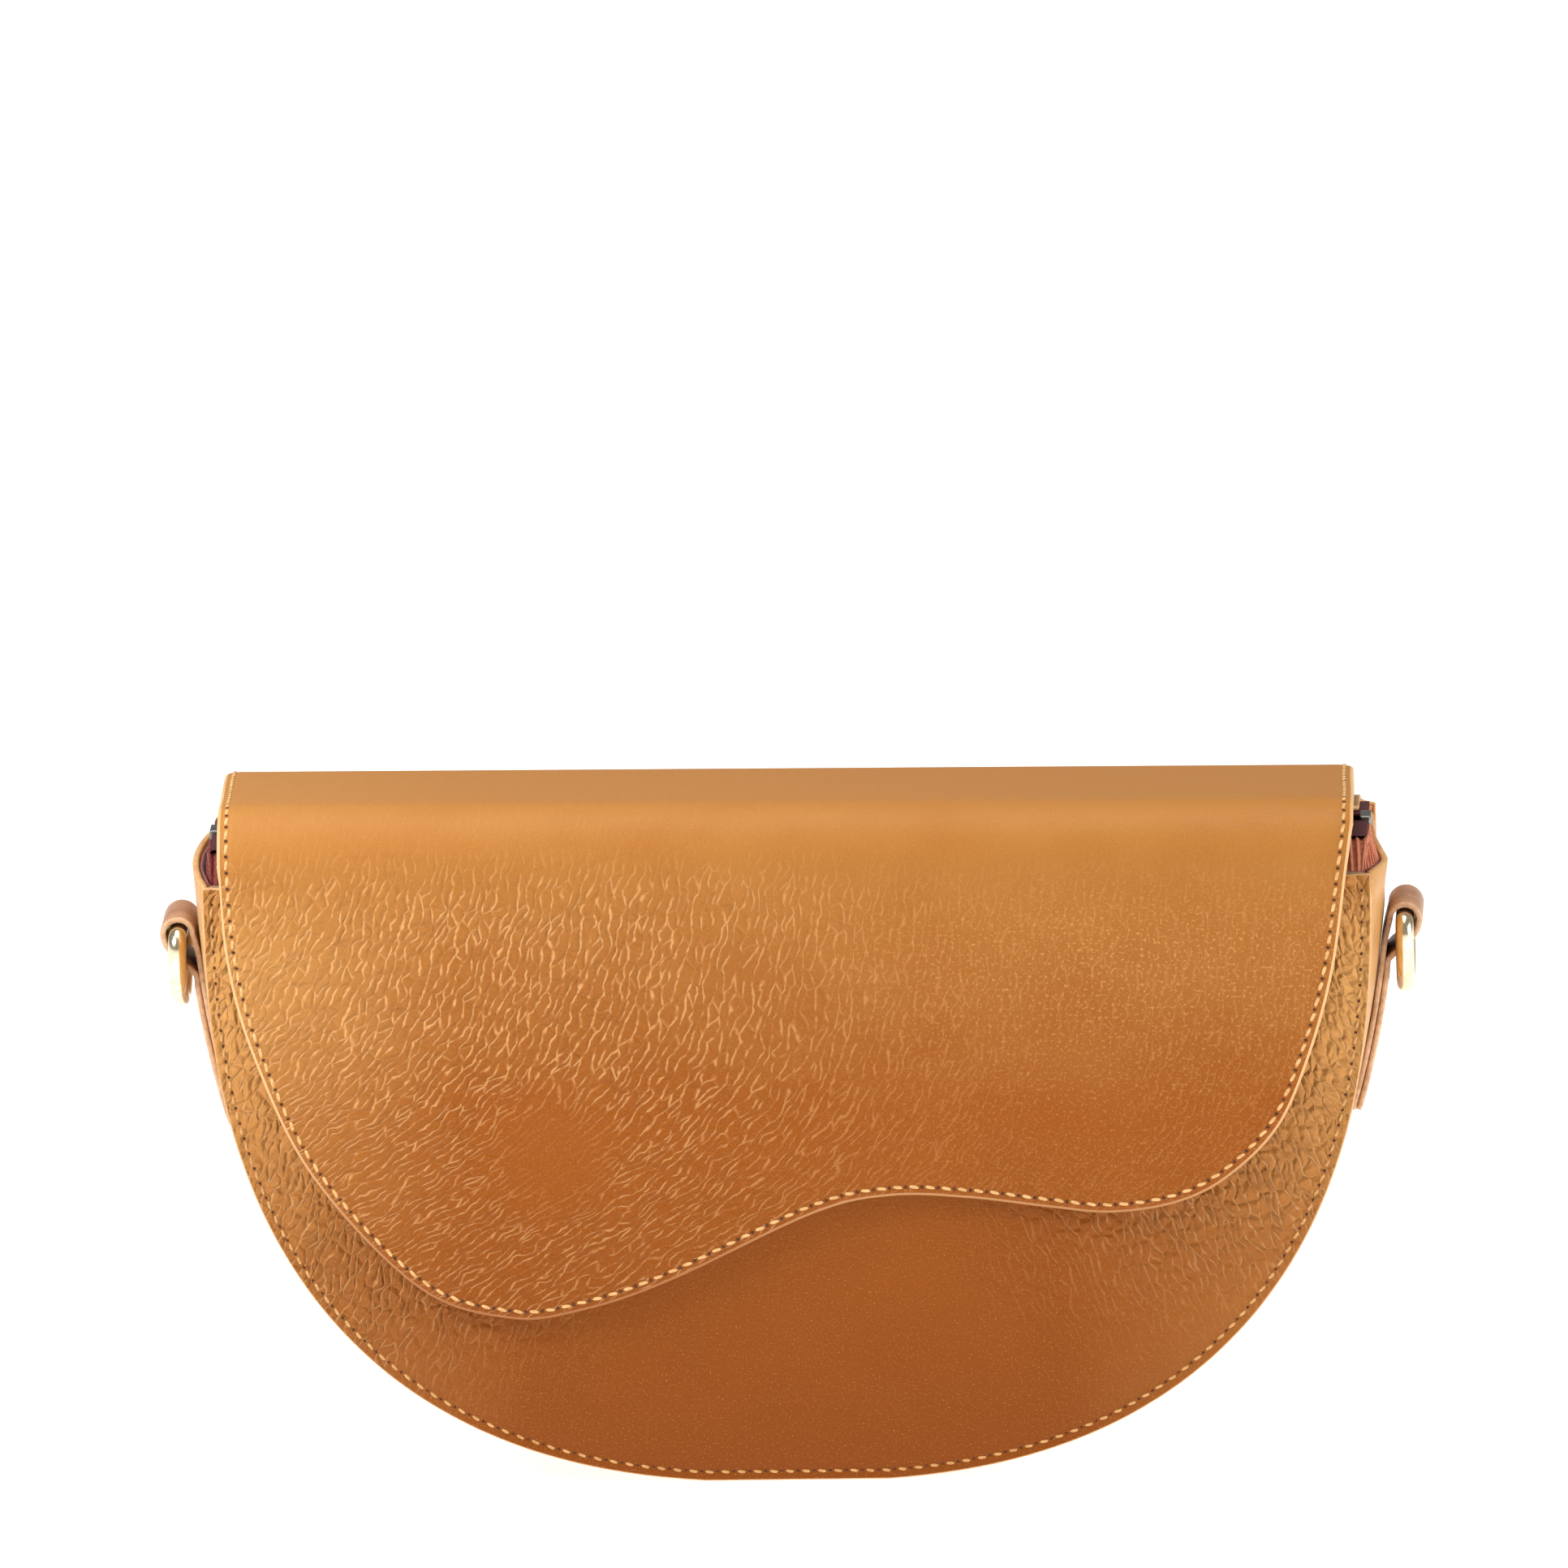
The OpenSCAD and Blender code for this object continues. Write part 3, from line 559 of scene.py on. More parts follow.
def tube(name, path, radius, material, closed=False, sides=16):
    """A round bar along a path."""
    count = len(path)
    path = [Vector(p) for p in path]
    line = [path[-1], *path, path[0]] if closed else [path[0], *path, path[-1]]
    ways = [(after - before).normalized() for before, after in zip(line, line[2:])]
    up = ways[0].orthogonal().normalized()
    points = []
    for place, way in zip(path, ways):
        up = (up - way * up.dot(way)).normalized()
        side = way.cross(up)
        for k in range(sides):
            turn = 2 * math.pi * k / sides
            points.append(place + (up * math.cos(turn) + side * math.sin(turn)) * radius)
    faces = grid_faces(count, sides, closed=True, looped=closed)
    if not closed:
        faces += [tuple(reversed(range(sides))), tuple(range((count - 1) * sides, count * sides))]
    return mesh_piece(name, points, faces, [material])


# A needle hole's half length and half width, how high over the hide its middle and its rim are
# drawn, and how far from it a thread ends
HOLE_SIZE = (0.36, 0.42)
HOLE_RISE = (0.085, 0.1)
HOLE_SIDES = 10
THREAD_END = 0.54
# A stitch leans by this share of its length, and its thread is pulled this flat
THREAD_SLANT = 0.16
THREAD_FLAT = 0.7
THREAD_SIDES = 8
# Along a thread: how high it lies and its share of the full girth
THREAD_FORM = ((-0.3, 0.7), (0.0, 0.95), (0.06, 1.05), (0.0, 0.95), (-0.3, 0.7))


def seam(name, line, material=THREAD, pitch=STITCH_PITCH, thick=0.36):
    """A row of saddle stitches along a line of (place, normal) in millimetres, with a needle
    hole between each two. Each thread dips into the holes at its ends."""
    places = [Vector(p) for p, _ in line]
    lengths = lengths_along(places)
    count = max(1, round(lengths[-1] / pitch))
    step = lengths[-1] / count

    def at(length):
        """The place at a length along the line, its normal, and the ways along and across."""
        length = min(max(length, 0.0), lengths[-1])
        k = 0
        while k < len(lengths) - 2 and lengths[k + 1] < length:
            k += 1
        share = (length - lengths[k]) / max(lengths[k + 1] - lengths[k], 1e-9)
        place = places[k].lerp(places[k + 1], share)
        normal = Vector(line[k][1]).lerp(Vector(line[k + 1][1]), share).normalized()
        way = (places[k + 1] - places[k]).normalized()
        return place, normal, way, way.cross(normal).normalized()

    points, faces = [], []
    for i in range(count):
        middle, normal, way, side = at((i + 0.5) * step)
        slant = (way + side * THREAD_SLANT).normalized()
        across = slant.cross(normal).normalized()
        half = step / 2 - THREAD_END
        first = len(points)
        for k, (rise, girth) in enumerate(THREAD_FORM):
            centre = middle + slant * half * (k / 2 - 1) + normal * rise
            girth *= thick
            for n in range(THREAD_SIDES):
                turn = 2 * math.pi * n / THREAD_SIDES
                out = across * math.cos(turn) + normal * math.sin(turn) * THREAD_FLAT
                points.append(centre + out * girth)
        faces += grid_faces(len(THREAD_FORM), THREAD_SIDES, first, closed=True)
        faces.append(tuple(reversed(range(first, first + THREAD_SIDES))))
        faces.append(tuple(range(len(points) - THREAD_SIDES, len(points))))
    kinds = [0] * len(faces)
    for i in range(count + 1):
        middle, normal, way, side = at(i * step)
        first = len(points)
        points.append(middle + normal * HOLE_RISE[0])
        for n in range(HOLE_SIDES):
            turn = 2 * math.pi * n / HOLE_SIDES
            out = way * math.cos(turn) * HOLE_SIZE[0] + side * math.sin(turn) * HOLE_SIZE[1]
            points.append(middle + out + normal * HOLE_RISE[1])
            faces.append((first, first + 1 + n, first + 1 + (n + 1) % HOLE_SIDES))
    kinds += [1] * (len(faces) - len(kinds))
    return mesh_piece(name, points, faces, [material, HOLE], None, kinds)


def half_moon(turn, inset=0.0):
    """A point (x, z) of the panels' outline, or that far inside it. The turn goes from 0 at
    the right end of the top to pi at the left end."""
    high = PANEL_TOP + FOOT_PRESS
    across, down = math.cos(turn), math.sin(turn)
    x = (PANEL_HALF - inset) * math.copysign(abs(across) ** (2 / FULLNESS), across)
    z = max(high - (high - inset) * abs(down) ** (2 / FULLNESS), FOOT_PRESS + inset)
    return x, z - FOOT_PRESS


def moon_line(inset, steps):
    """The panels' outline, or a line that far inside it, in even steps of the turn."""
    return [half_moon(turn, inset) for turn in even_steps(0, math.pi, steps)]


def inward(outline, level, share, corner):
    """A half-moon outline shrunk to a share toward the middle of its top. The back panel is
    taller, and has its top corners rounded off by that much."""
    out = []
    for x, z in outline:
        x, z = x * share, level - (level - z) * share
        if level > PANEL_TOP:
            z = min(z, level - corner * smooth_step(abs(x), PANEL_HALF - 10, PANEL_HALF))
        out.append((x, z))
    return out


# Front and back panels: thick hide, a little puffed, pressed in along the seam

# How far the panels' and the gusset's painted edges stand out
PANEL_BULGE = 0.35
# How far a panel puffs up inside its seam, and how far the thread pulls it in there
PANEL_PUFF = 1.1
SEAM_PULL = 0.22
SEAM_INSET = 2.0
HEM_Z = PANEL_TOP - 3.7
# How far the top corners of the back panel, and of its board and lining, are rounded off
BACK_CORNER = 3.4
INNER_CORNER = 4


def panel_face(inset, sign):
    """How far a panel's outer face stands out at a place, by how far that is inside its edge."""
    puff = PANEL_PUFF * (1 - math.exp(-max(inset - 2.2, 0) / 4.5))
    puff *= 1 - 0.4 * smooth_step(inset, 10, 40)
    pull = SEAM_PULL * math.exp(-((inset - SEAM_INSET) / 0.7) ** 2)
    return sign * (PANEL_FRONT + puff - pull - 0.05)


def make_panel(name, top, sign, materials):
    """A half-moon panel whose outer face looks to the front (-1) or the back (1)."""
    level = top - PANEL_BULGE
    outline = moon_line(PANEL_BULGE, 160)
    ends = [(outline[0][0], level)], [(outline[-1][0], level)]
    outline = ends[0] + (outline if top > PANEL_TOP else outline[1:-1]) + ends[1]
    insets = [0, 0.35, 0.8, 1.25, 1.7, 2.3, 3.2, 4.5, 6.5, 9, 12, 16, 21, 27, 35, 45, 57, 70]
    insets += [85, 100, 115]
    points, flats = [], []
    for inset in insets:
        for x, z in inward(outline, level, 1 - inset / PANEL_HALF, BACK_CORNER):
            points.append((x, panel_face(inset, sign), z))
            flats.append((x, z))
    points.append((0, panel_face(120, sign), level))
    flats.append((0, top))
    return hide_sheet(
        name, points, fan_faces(len(insets), len(outline)), PANEL_FRONT - PANEL_FACE,
        PANEL_BULGE, materials, flats, sign < 0,
    )


def panel_seam(sign):
    """The stitch line round a panel's edge, from corner to corner."""
    face = panel_face(SEAM_INSET, sign)
    edge = moon_line(SEAM_INSET, 160)
    return [((x, face, min(z, HEM_Z)), (0, sign, 0)) for x, z in edge]


front_panel = make_panel("Front_panel", PANEL_TOP, -1, [FRONT_HIDE, EDGE_PAINT])
back_panel = make_panel("Back_panel", BACK_TOP, 1, [BACK_HIDE, EDGE_PAINT])
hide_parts("front_panel")
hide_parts("back_panel")
front_seam = seam("Front_panel_seam", panel_seam(-1), PANEL_THREAD, thick=0.34)
back_seam = seam("Back_panel_seam", panel_seam(1), PANEL_THREAD, thick=0.34)
hem_half = PANEL_HALF - 4
hem = [
    ((x, panel_face(3, -1), HEM_Z), (0, -1, 0)) for x in even_steps(-hem_half, hem_half, 120)
]
front_hem = seam("Front_panel_hem_seam", hem)
for piece in (front_panel, back_panel, front_seam, back_seam, front_hem):
    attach(piece, "bag")


# Gusset: one strip of smooth hide round the bag, standing out at its open ends

def crown(y, z, sign=-1):
    """How far the gusset stands out. Near its rim the right side (1) stands out most at the
    front and is tucked in behind."""
    high = max(0.0, (z / PANEL_TOP - 0.55) / 0.45)
    out = CROWN * (1 - (y / PANEL_FACE) ** 2) * high ** 1.5
    if sign < 0:
        return out
    tuck = 1.3 * math.exp(-((y + 20) / 8) ** 2)
    tuck -= 2.8 * smooth_step(y, -18, 8) * (1 - 0.7 * smooth_step(y, 14, 31))
    return out + tuck * smooth_step(z, 121, 132)


RIM_RISE = 0.8


def gusset_rim(y):
    """The gusset's open ends rise a little toward the back."""
    return PANEL_TOP - 0.15 + RIM_RISE * (y + PANEL_FACE) / (2 * PANEL_FACE)


def make_band(name, inset, half_depth, thickness, bulge, rim, materials, ripple=0.0):
    """A strip round the bag, from rim to rim. The rim gives its height at a depth."""
    points, flats = [], []
    places = moon_line(inset, 180)
    depths = even_steps(bulge - half_depth, half_depth - bulge, 24)
    for (x, z), far in zip(places, lengths_along([Vector(p) for p in places])):
        side = math.copysign(1, x)
        for y in depths:
            height = rim(y) if (x, z) in (places[0], places[-1]) else z
            out = crown(y, min(height, PANEL_TOP), side)
            wave = ripple * math.sin(far / 4.5 + 2 * math.sin(y / 7)) * math.sin(y / 9 + 1)
            points.append((x + side * out - side * abs(wave), y, height))
            flats.append((far, y))
    faces = grid_faces(len(places), len(depths))
    return hide_sheet(name, points, faces, thickness, bulge, materials, flats, True)


gusset = make_band(
    "Gusset", 0.0, PANEL_FACE, GUSSET_T, PANEL_BULGE, gusset_rim, [SMOOTH_HIDE, EDGE_PAINT]
)
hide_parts("gusset")
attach(gusset, "bag")


# Flap: one hide from its tail on the back panel, over the top, to the wavy front edge. Its
# places are (across, up the hide): on the front the second is the height, and it runs on over
# the shoulder, the top, the fold and down the tail. The edge in front is given in half widths
# and in shares of the drop from the top.
FLAP_EDGE = [
    (-1, 0.1), (-0.988, 0.28), (-0.945, 0.47), (-0.846, 0.71), (-0.663, 0.935),
    (-0.5, 1), (-0.37, 0.985), (-0.215, 0.928), (0.039, 0.798),
    (0.175, 0.765), (0.312, 0.771), (0.45, 0.791), (0.561, 0.8035), (0.676, 0.786),
    (0.768, 0.737), (0.86, 0.637), (0.918, 0.495), (0.962, 0.324), (0.988, 0.126),
    (1, 0.02),
]
SHOULDER_C = Vector((SHOULDER_R - FLAP_FRONT, SHOULDER_TOP - SHOULDER_R))
FOLD_C = Vector((FLAP_BACK - FOLD_R, FOLD_TOP - FOLD_R))
TILT = math.atan2(SHOULDER_TOP - FOLD_TOP, FOLD_C.x - SHOULDER_C.x)
TOP_TURN = math.pi / 2 - TILT
# Where each stretch of the profile ends, up the hide
FRONT_END = SHOULDER_C.y
SHOULDER_END = FRONT_END + SHOULDER_R * (math.pi - TOP_TURN)
TOP_WAY = direction(TOP_TURN)
LEVEL = FOLD_C + FOLD_R * TOP_WAY - SHOULDER_C - SHOULDER_R * TOP_WAY
TOP_END = SHOULDER_END + LEVEL.length
TOP_MIDDLE = (SHOULDER_END + TOP_END) / 2
FOLD_END = TOP_END + FOLD_R * TOP_TURN
TAIL_END = FOLD_END + FOLD_C.y - TAIL_LOW.z
TAIL_CORNER = 14.0


def relief(x, v):
    """How far the flap's face stands out from its plain profile: a soft belly low on the left
    and round dips where the snaps pull it in."""
    out = 0.9 * math.exp(-((x + 62) / 55) ** 2 - ((v - 62) / 42) ** 2)
    out += 0.5 * math.exp(-((x - 60) / 45) ** 2 - ((v - 85) / 30) ** 2)
    for sx, sv in SNAPS:
        out -= 0.75 * math.exp(-(((x - sx) ** 2 + (v - sv) ** 2) / 10 ** 2))
    out -= 0.5 * smooth_step(v, 112, 136) * (1 - smooth_step(v, 136, 149))
    return out * smooth_step(SHOULDER_END - v, 0, 6)


def flap_frame(v):
    """Place (y, z) and outward normal of the flap's plain profile, up the hide."""
    if v <= FRONT_END:
        return Vector((-FLAP_FRONT, v)), Vector((-1, 0))
    if v <= SHOULDER_END:
        turn = math.pi - (v - FRONT_END) / SHOULDER_R
        way = direction(turn)
        return SHOULDER_C + way * SHOULDER_R, way
    if v <= TOP_END:
        share = (v - SHOULDER_END) / LEVEL.length
        return SHOULDER_C + TOP_WAY * SHOULDER_R + LEVEL * share, TOP_WAY
    if v <= FOLD_END:
        turn = TOP_TURN - (v - TOP_END) / FOLD_R
        way = direction(turn)
        return FOLD_C + way * FOLD_R, way
    return Vector((FLAP_BACK, FOLD_C.y - (v - FOLD_END))), Vector((1, 0))


def curve_through(points, steps):
    """A smooth curve through points, as in the solid model's flap."""
    line = [Vector(p) for p in (points[0], *points, points[-1])]
    out = []
    for a, b, c, d in zip(line, line[1:], line[2:], line[3:]):
        for j in range(steps):
            t = j / steps
            out.append((
                2 * b + (c - a) * t + (2 * a - 5 * b + 4 * c - d) * t * t
                + (3 * b - a - 3 * c + d) * t ** 3
            ) / 2)
    return out + [line[-1]]


FLAP_LINE = curve_through(
    [(x * FLAP_HALF, SHOULDER_TOP - down * FLAP_DROP) for x, down in FLAP_EDGE], 8
)
EDGE_TREE = KDTree(4 * (len(FLAP_LINE) - 1))
for k in range(4 * (len(FLAP_LINE) - 1)):
    spot = FLAP_LINE[k // 4].lerp(FLAP_LINE[k // 4 + 1], k % 4 / 4)
    EDGE_TREE.insert((*spot, 0), k)
EDGE_TREE.balance()


# How far the flap's margin rolls down, over which width, and how much lower its top hangs for
# each millimetre to the right
EDGE_ROLL = 0.5
ROLL_WIDTH = 1.6
TOP_HANG = 0.006
# Over the top it spreads a little on the left and draws in on the right
SPREAD_LEFT = 1.2
SPREAD_RIGHT = -1.0


def on_flap(x, v, depth=0.0):
    """A point of the flap and its normal, at a depth under its outer face. Its margin rolls
    down a little outside the stitches."""
    place, way = flap_frame(v)
    inside = min(EDGE_TREE.find((x, v, 0))[2], FLAP_HALF - abs(x))
    roll = EDGE_ROLL * math.exp(-((inside / ROLL_WIDTH) ** 2))
    place = place + way * (relief(x, v) - roll - depth)
    place.y -= TOP_HANG * x * smooth_step(v, 110, 150) * (1 - smooth_step(v, FOLD_END, TAIL_END))
    spread = SPREAD_LEFT if x < 0 else SPREAD_RIGHT
    spread *= smooth_step(v, SHOULDER_END - 4, TOP_END)
    x = x * (FLAP_HALF + spread) / FLAP_HALF
    return Vector((x, place.x, place.y)), Vector((0, way.x, way.y))


def flap_edge(inset):
    """The flap's front edge from left to right, moved in by a distance and kept in order."""
    out = []
    half = FLAP_HALF - inset
    for i, p in enumerate(FLAP_LINE):
        p = p + left_of(FLAP_LINE, i) * inset
        p.x = min(max(p.x, -half), half)
        if out:
            p.x = max(p.x, out[-1].x + 0.02)
        out.append(p)
    return out


def flap_sheet(name, columns, rows, depth, thickness, bulge, materials, is_open=None):
    """A part of the flap from a grid of places on the hide, at a depth under its outer face."""
    flats = [(x, v) for row in rows for x, v in zip(columns, row)]
    points = [tuple(on_flap(x, v, depth)[0]) for x, v in flats]
    faces = grid_faces(len(rows), len(columns))
    return hide_sheet(name, points, faces, thickness, bulge, materials, flats, depth > 0, is_open)


def edge_rows(line, top, steps):
    """Rows from a front edge line up to a level on the flap's top."""
    shares = [(i / steps) ** 1.3 for i in range(steps + 1)]
    return [[p.y + (top - p.y) * share for p in line] for share in shares]


JOINT_Y = on_flap(0, TOP_MIDDLE)[0].y


def on_joint(p):
    """Tells whether a point of the flap lies on the joint between its two parts."""
    return abs(p[1] - JOINT_Y) < 0.05


FLAP_BULGE = 0.85
FLAP_LAYERS = [FLAP_HIDE, FLAP_PAINT, FLAP_SPLIT]
line = flap_edge(FLAP_BULGE)
flap_front = flap_sheet(
    "Flap_front", [p.x for p in line], edge_rows(line, TOP_MIDDLE, 110), 0.0, FLAP_T,
    FLAP_BULGE, FLAP_LAYERS, on_joint,
)
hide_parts("flap_front_leather")

# The rear part: from the middle of the top over the fold to the tail's round corners
REAR_HALF = FLAP_HALF - FLAP_BULGE
rear_x = [REAR_HALF * math.sin(turn) for turn in even_steps(-math.pi / 2, math.pi / 2, 80)]


def tail_limit(x):
    """How far down the tail the hide goes, with its corners rounded off."""
    past = max(0.0, abs(x) - (REAR_HALF - TAIL_CORNER))
    corner = TAIL_CORNER - math.sqrt(max(TAIL_CORNER ** 2 - past ** 2, 0))
    return TAIL_END - FLAP_BULGE - corner


rear_rows = list(zip(*(even_steps(TOP_MIDDLE, tail_limit(x), 60) for x in rear_x)))
flap_rear = flap_sheet(
    "Flap_rear", rear_x, rear_rows, 0.0, FLAP_T, FLAP_BULGE, FLAP_LAYERS, on_joint
)
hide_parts("flap_tail", "flap_top_leather")

# The lining is cut a little smaller than the hide
LINING_INSET = 1.1
line = flap_edge(LINING_INSET)
flap_lining = flap_sheet(
    "Flap_lining", [p.x for p in line], edge_rows(line, TOP_END + 2.5, 110), FLAP_STACK,
    FLAP_STACK - FLAP_T - 0.06, 0.3, [FLAP_SPLIT, EDGE_PAINT],
)
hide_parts("flap_top_lining", "flap_front_lining")

# Stitches along the flap's edge, on each part. From its ends in front they go on up the sides
# to the joint, 1 mm at a time.
STITCH_INSET = 2.2
side = FLAP_HALF - STITCH_INSET
up_left = [(-side, TOP_MIDDLE - i) for i in range(int(TOP_MIDDLE - 139))]
up_right = [(side, 148 + i) for i in range(int(TOP_MIDDLE - 147.5))]
edge = up_left + [tuple(p) for p in flap_edge(STITCH_INSET)] + up_right
front_stitches = seam("Flap_front_seam", [on_flap(x, v) for x, v in edge])
corner = TAIL_CORNER - STITCH_INSET
tail = [(-side, TOP_MIDDLE + i) for i in range(int(TAIL_END - TAIL_CORNER - TOP_MIDDLE))]
tail += arc(-side + corner, TAIL_END - TAIL_CORNER, corner, math.pi, math.pi / 2, 10)
tail += [(-x, v) for x, v in reversed(tail)]
rear_stitches = seam("Flap_rear_seam", [on_flap(x, v) for x, v in tail])


def bend_end(y, z):
    """A place in metres where one of the flap's two bends starts or ends."""
    return 0, y * MM, z * MM


shoulder_start = bend_end(*on_flap(0, SHOULDER_END + 5)[0].yz)
fold_end = bend_end(*on_flap(0, TOP_END - 2)[0].yz)
for piece in (flap_front, front_stitches, flap_lining):
    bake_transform(piece)
for piece in (flap_rear, rear_stitches):
    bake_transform(piece)


# Side tabs: a strap of brown hide, folded over a ring's bar and sewn down on the gusset

RING_LOW, RING_HIGH = node_box("ring_right")
TAB_LOW, TAB_HIGH = node_box("side_tab_right")
RING_R = 2.0
# The middle of a ring's bar
BAR_X = (RING_LOW.x + RING_HIGH.x) / 2
BAR_Z = RING_HIGH.z - RING_R
TAB_HALF = TAB_HIGH.y
TAB_T = 1.3
# Between the strap and the gusset, and between a ring's bar and the strap round it
GLUE = 0.1
RING_ROOM = 0.6
LOOP_R = RING_R + RING_ROOM + TAB_T / 2
# How far under the bar the strap's two layers meet
TAB_MEET = 8.4
# The tabs' seam: how far it is from the middle, under the bar and over the strap's cut end
TAB_SEAM_Y = 7.3
TAB_SEAM_DOWN = 11.5
TAB_SEAM_UP = 2.5


def gusset_x(z):
    """Outer face of the gusset at mid depth."""
    turn = math.asin(((PANEL_TOP - z) / (PANEL_TOP + FOOT_PRESS)) ** (FULLNESS / 2))
    return half_moon(turn)[0] + crown(0, z)


def tab_path():
    """The middle of the strap, from its cut end up, round the bar and down again."""
    levels = even_steps(TAB_LOW.z, BAR_Z - TAB_MEET, 12)
    inner = [(gusset_x(z) + GLUE + TAB_T / 2, z) for z in levels]
    loop = arc(BAR_X, BAR_Z, LOOP_R, math.pi, 0, 12)
    bridge = [(inner[-1][0] + 0.5, inner[-1][1] + 3.6)]
    outer = [(BAR_X + LOOP_R - 0.7, BAR_Z - 2.6), (BAR_X - 0.3, BAR_Z - 5.9)]
    outer += [(x + TAB_T, z - 0.4) for x, z in reversed(inner[1:])]
    outer.append((inner[0][0] + TAB_T, inner[0][1]))
    return curve_through(inner + bridge + loop + outer, 3)


def make_tab(name, sign):
    """A side tab: its section swept along the strap's path, with rounded edges."""
    path = tab_path()
    round_r = 0.5
    half_w, half_t = TAB_HALF - round_r, TAB_T / 2 - 0.02 - round_r
    section = []
    for n, (x, y) in enumerate(((1, 1), (-1, 1), (-1, -1), (1, -1))):
        start = math.pi / 2 * n
        section += arc(x * half_w, y * half_t, round_r, start, start + math.pi / 2, 4)
    points = []
    for i, p in enumerate(path):
        for w, t in section:
            place = p + left_of(path, i) * t
            points.append((sign * place.x, w, place.y))
    wide = len(section)
    faces = grid_faces(len(path), wide, closed=True)
    # Its two broad sides are hide, and the two narrow ones between them are painted
    kinds = [0 if n % wide in (4, 14) else 1 for n in range(len(faces))]
    faces += [tuple(reversed(range(wide))), tuple(range(len(points) - wide, len(points)))]
    kinds += [2, 2]
    if sign > 0:
        faces = [tuple(reversed(f)) for f in faces]
    return mesh_piece(name, points, faces, [TAB_HIDE, TAB_EDGE, TAB_CUT], None, kinds)


def tab_seam(sign):
    """Stitches down one side of a tab, across its end and up the other side."""
    line = []
    rows = even_steps(BAR_Z - TAB_SEAM_DOWN, TAB_LOW.z + TAB_SEAM_UP, 12)
    for side, levels in ((-TAB_SEAM_Y, rows), (TAB_SEAM_Y, rows[::-1])):
        for z in levels:
            x = gusset_x(z) + GLUE + 2 * TAB_T - 0.14
            slope = gusset_x(z + 1) - gusset_x(z - 1)
            normal = Vector((2, 0, -slope)).normalized()
            line.append(((sign * x, side, z), (sign * normal.x, 0, normal.z)))
    return line


def make_ring(name, sign):
    """A D ring: a straight bar, two short arms with bent corners, and a half circle."""
    half = RING_HIGH.y - RING_R
    low = RING_LOW.z + RING_R - BAR_Z
    bend = 2.6
    flat = arc(half - bend, -bend, bend, math.pi / 2, 0, 6)
    flat += arc(0, low + half, half, 0, -math.pi, 32)
    flat += arc(bend - half, -bend, bend, math.pi, math.pi / 2, 6)
    flat += [(y, 0) for y in even_steps(bend - half, half - bend, 8)[1:-1]]
    path = [(sign * BAR_X, y, BAR_Z + z) for y, z in flat]
    return tube(name, path, RING_R, GOLD, closed=True, sides=20)


# The tabs' paler edge paint, and the dark raw fibres of their cut end
TAB_EDGE = grained("Tab_edge_paint", "#DDB690", "#B98F6A", 1.0, 0.03, 0.5)
TAB_CUT = grained("Tab_cut_end", "#5A3A2A", "#43291C", 0.4, 0.06, 0.85)
for word, sign in (("left", -1), ("right", 1)):
    tab = make_tab("Side_tab_" + word, sign)
    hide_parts("side_tab_" + word)
    tab_stitches = seam("Side_tab_seam_" + word, tab_seam(sign), TAB_THREAD, thick=0.3)
    ring = make_ring("D_ring_" + word, sign)
    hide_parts("ring_" + word)
    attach(tab, "bag")
    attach(tab_stitches, "bag")
    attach(ring, "ring_on_" + word)


# Zip: facings of hide, woven tapes, end tabs, teeth, stops, slider and pull tab

TAPE_LOW, TAPE_HIGH = node_box("zip_tape_rear")
END_LOW, END_HIGH = node_box("zip_end_tabs")
# The facings' and the end tabs' hide, and how far its painted edge stands out
FACING_T = 1.05
FACING_BULGE = 0.3
TAPE_T = 0.42
CORD_R = 0.42
# Where an end tab starts and stops, back from the zip's end
END_TAB_START = 9.0
END_TAB_STOP = 4.2


def make_facing(name, node, sign, top, left_end, right_end):
    """A strip of hide from beside the teeth out to the panel, and down inside it. Its ends stop
    short of the zip's by those lengths."""
    low, high = node_box(node)
    level = END_LOW.z - 0.1
    inner = max(abs(low.y), abs(high.y))
    slot = min(abs(low.y), abs(high.y))
    corner = TAPE_HIGH.y + 1.1
    profile = curve_through([
        (slot + FACING_BULGE, level), (slot + 4, level), (corner - 3, level), (corner, level - 0.3),
        (corner + (inner - corner) * 0.5, level - (level - top + 1.1) * 0.5),
        (inner - 0.4, top - 1.3), (inner, top - 3.5), (inner, low.z + FACING_BULGE),
    ], 4)
    first, last = FACING_BULGE + left_end - high.x, high.x - right_end - FACING_BULGE
    columns = even_steps(first, last, 80)
    points, flats = [], []
    for p, far in zip(profile, lengths_along(profile)):
        for x in columns:
            points.append((x, sign * p.x, p.y))
            flats.append((x, far))
    faces = grid_faces(len(profile), len(columns))
    piece = hide_sheet(
        name, points, faces, FACING_T, FACING_BULGE, [FACING_HIDE, EDGE_PAINT], flats, sign < 0
    )
    line = [((x, sign * (slot + 2.3), level), (0, 0, 1)) for x in columns[8:-8]]
    stitches = seam(name + "_seam", line)
    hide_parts(node)
    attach(piece, "bag")
    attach(stitches, "bag")


def make_tape(name, node, sign):
    """A woven tape with a cord along its toothed edge."""
    half, near, far = TAPE_HIGH.x, TAPE_LOW.y, TAPE_HIGH.y
    middle = (TAPE_LOW.z + TAPE_HIGH.z) / 2
    columns = even_steps(0.8 - half, half - 0.8, 120)
    rows = even_steps(near + 0.2, far - 0.2, 10)
    points = [(x, sign * y, TAPE_HIGH.z - 0.04) for y in rows for x in columns]
    flats = [(x, y) for y in rows for x in columns]
    faces = grid_faces(len(rows), len(columns))
    piece = hide_sheet(name, points, faces, TAPE_T, 0.15, [ZIP_TAPE], flats, sign < 0)
    line = [(x, sign * (near + 0.3), middle) for x in columns]
    edge = tube(name + "_cord", line, CORD_R, ZIP_TAPE)
    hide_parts(node)
    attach(piece, "bag")
    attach(edge, "bag")


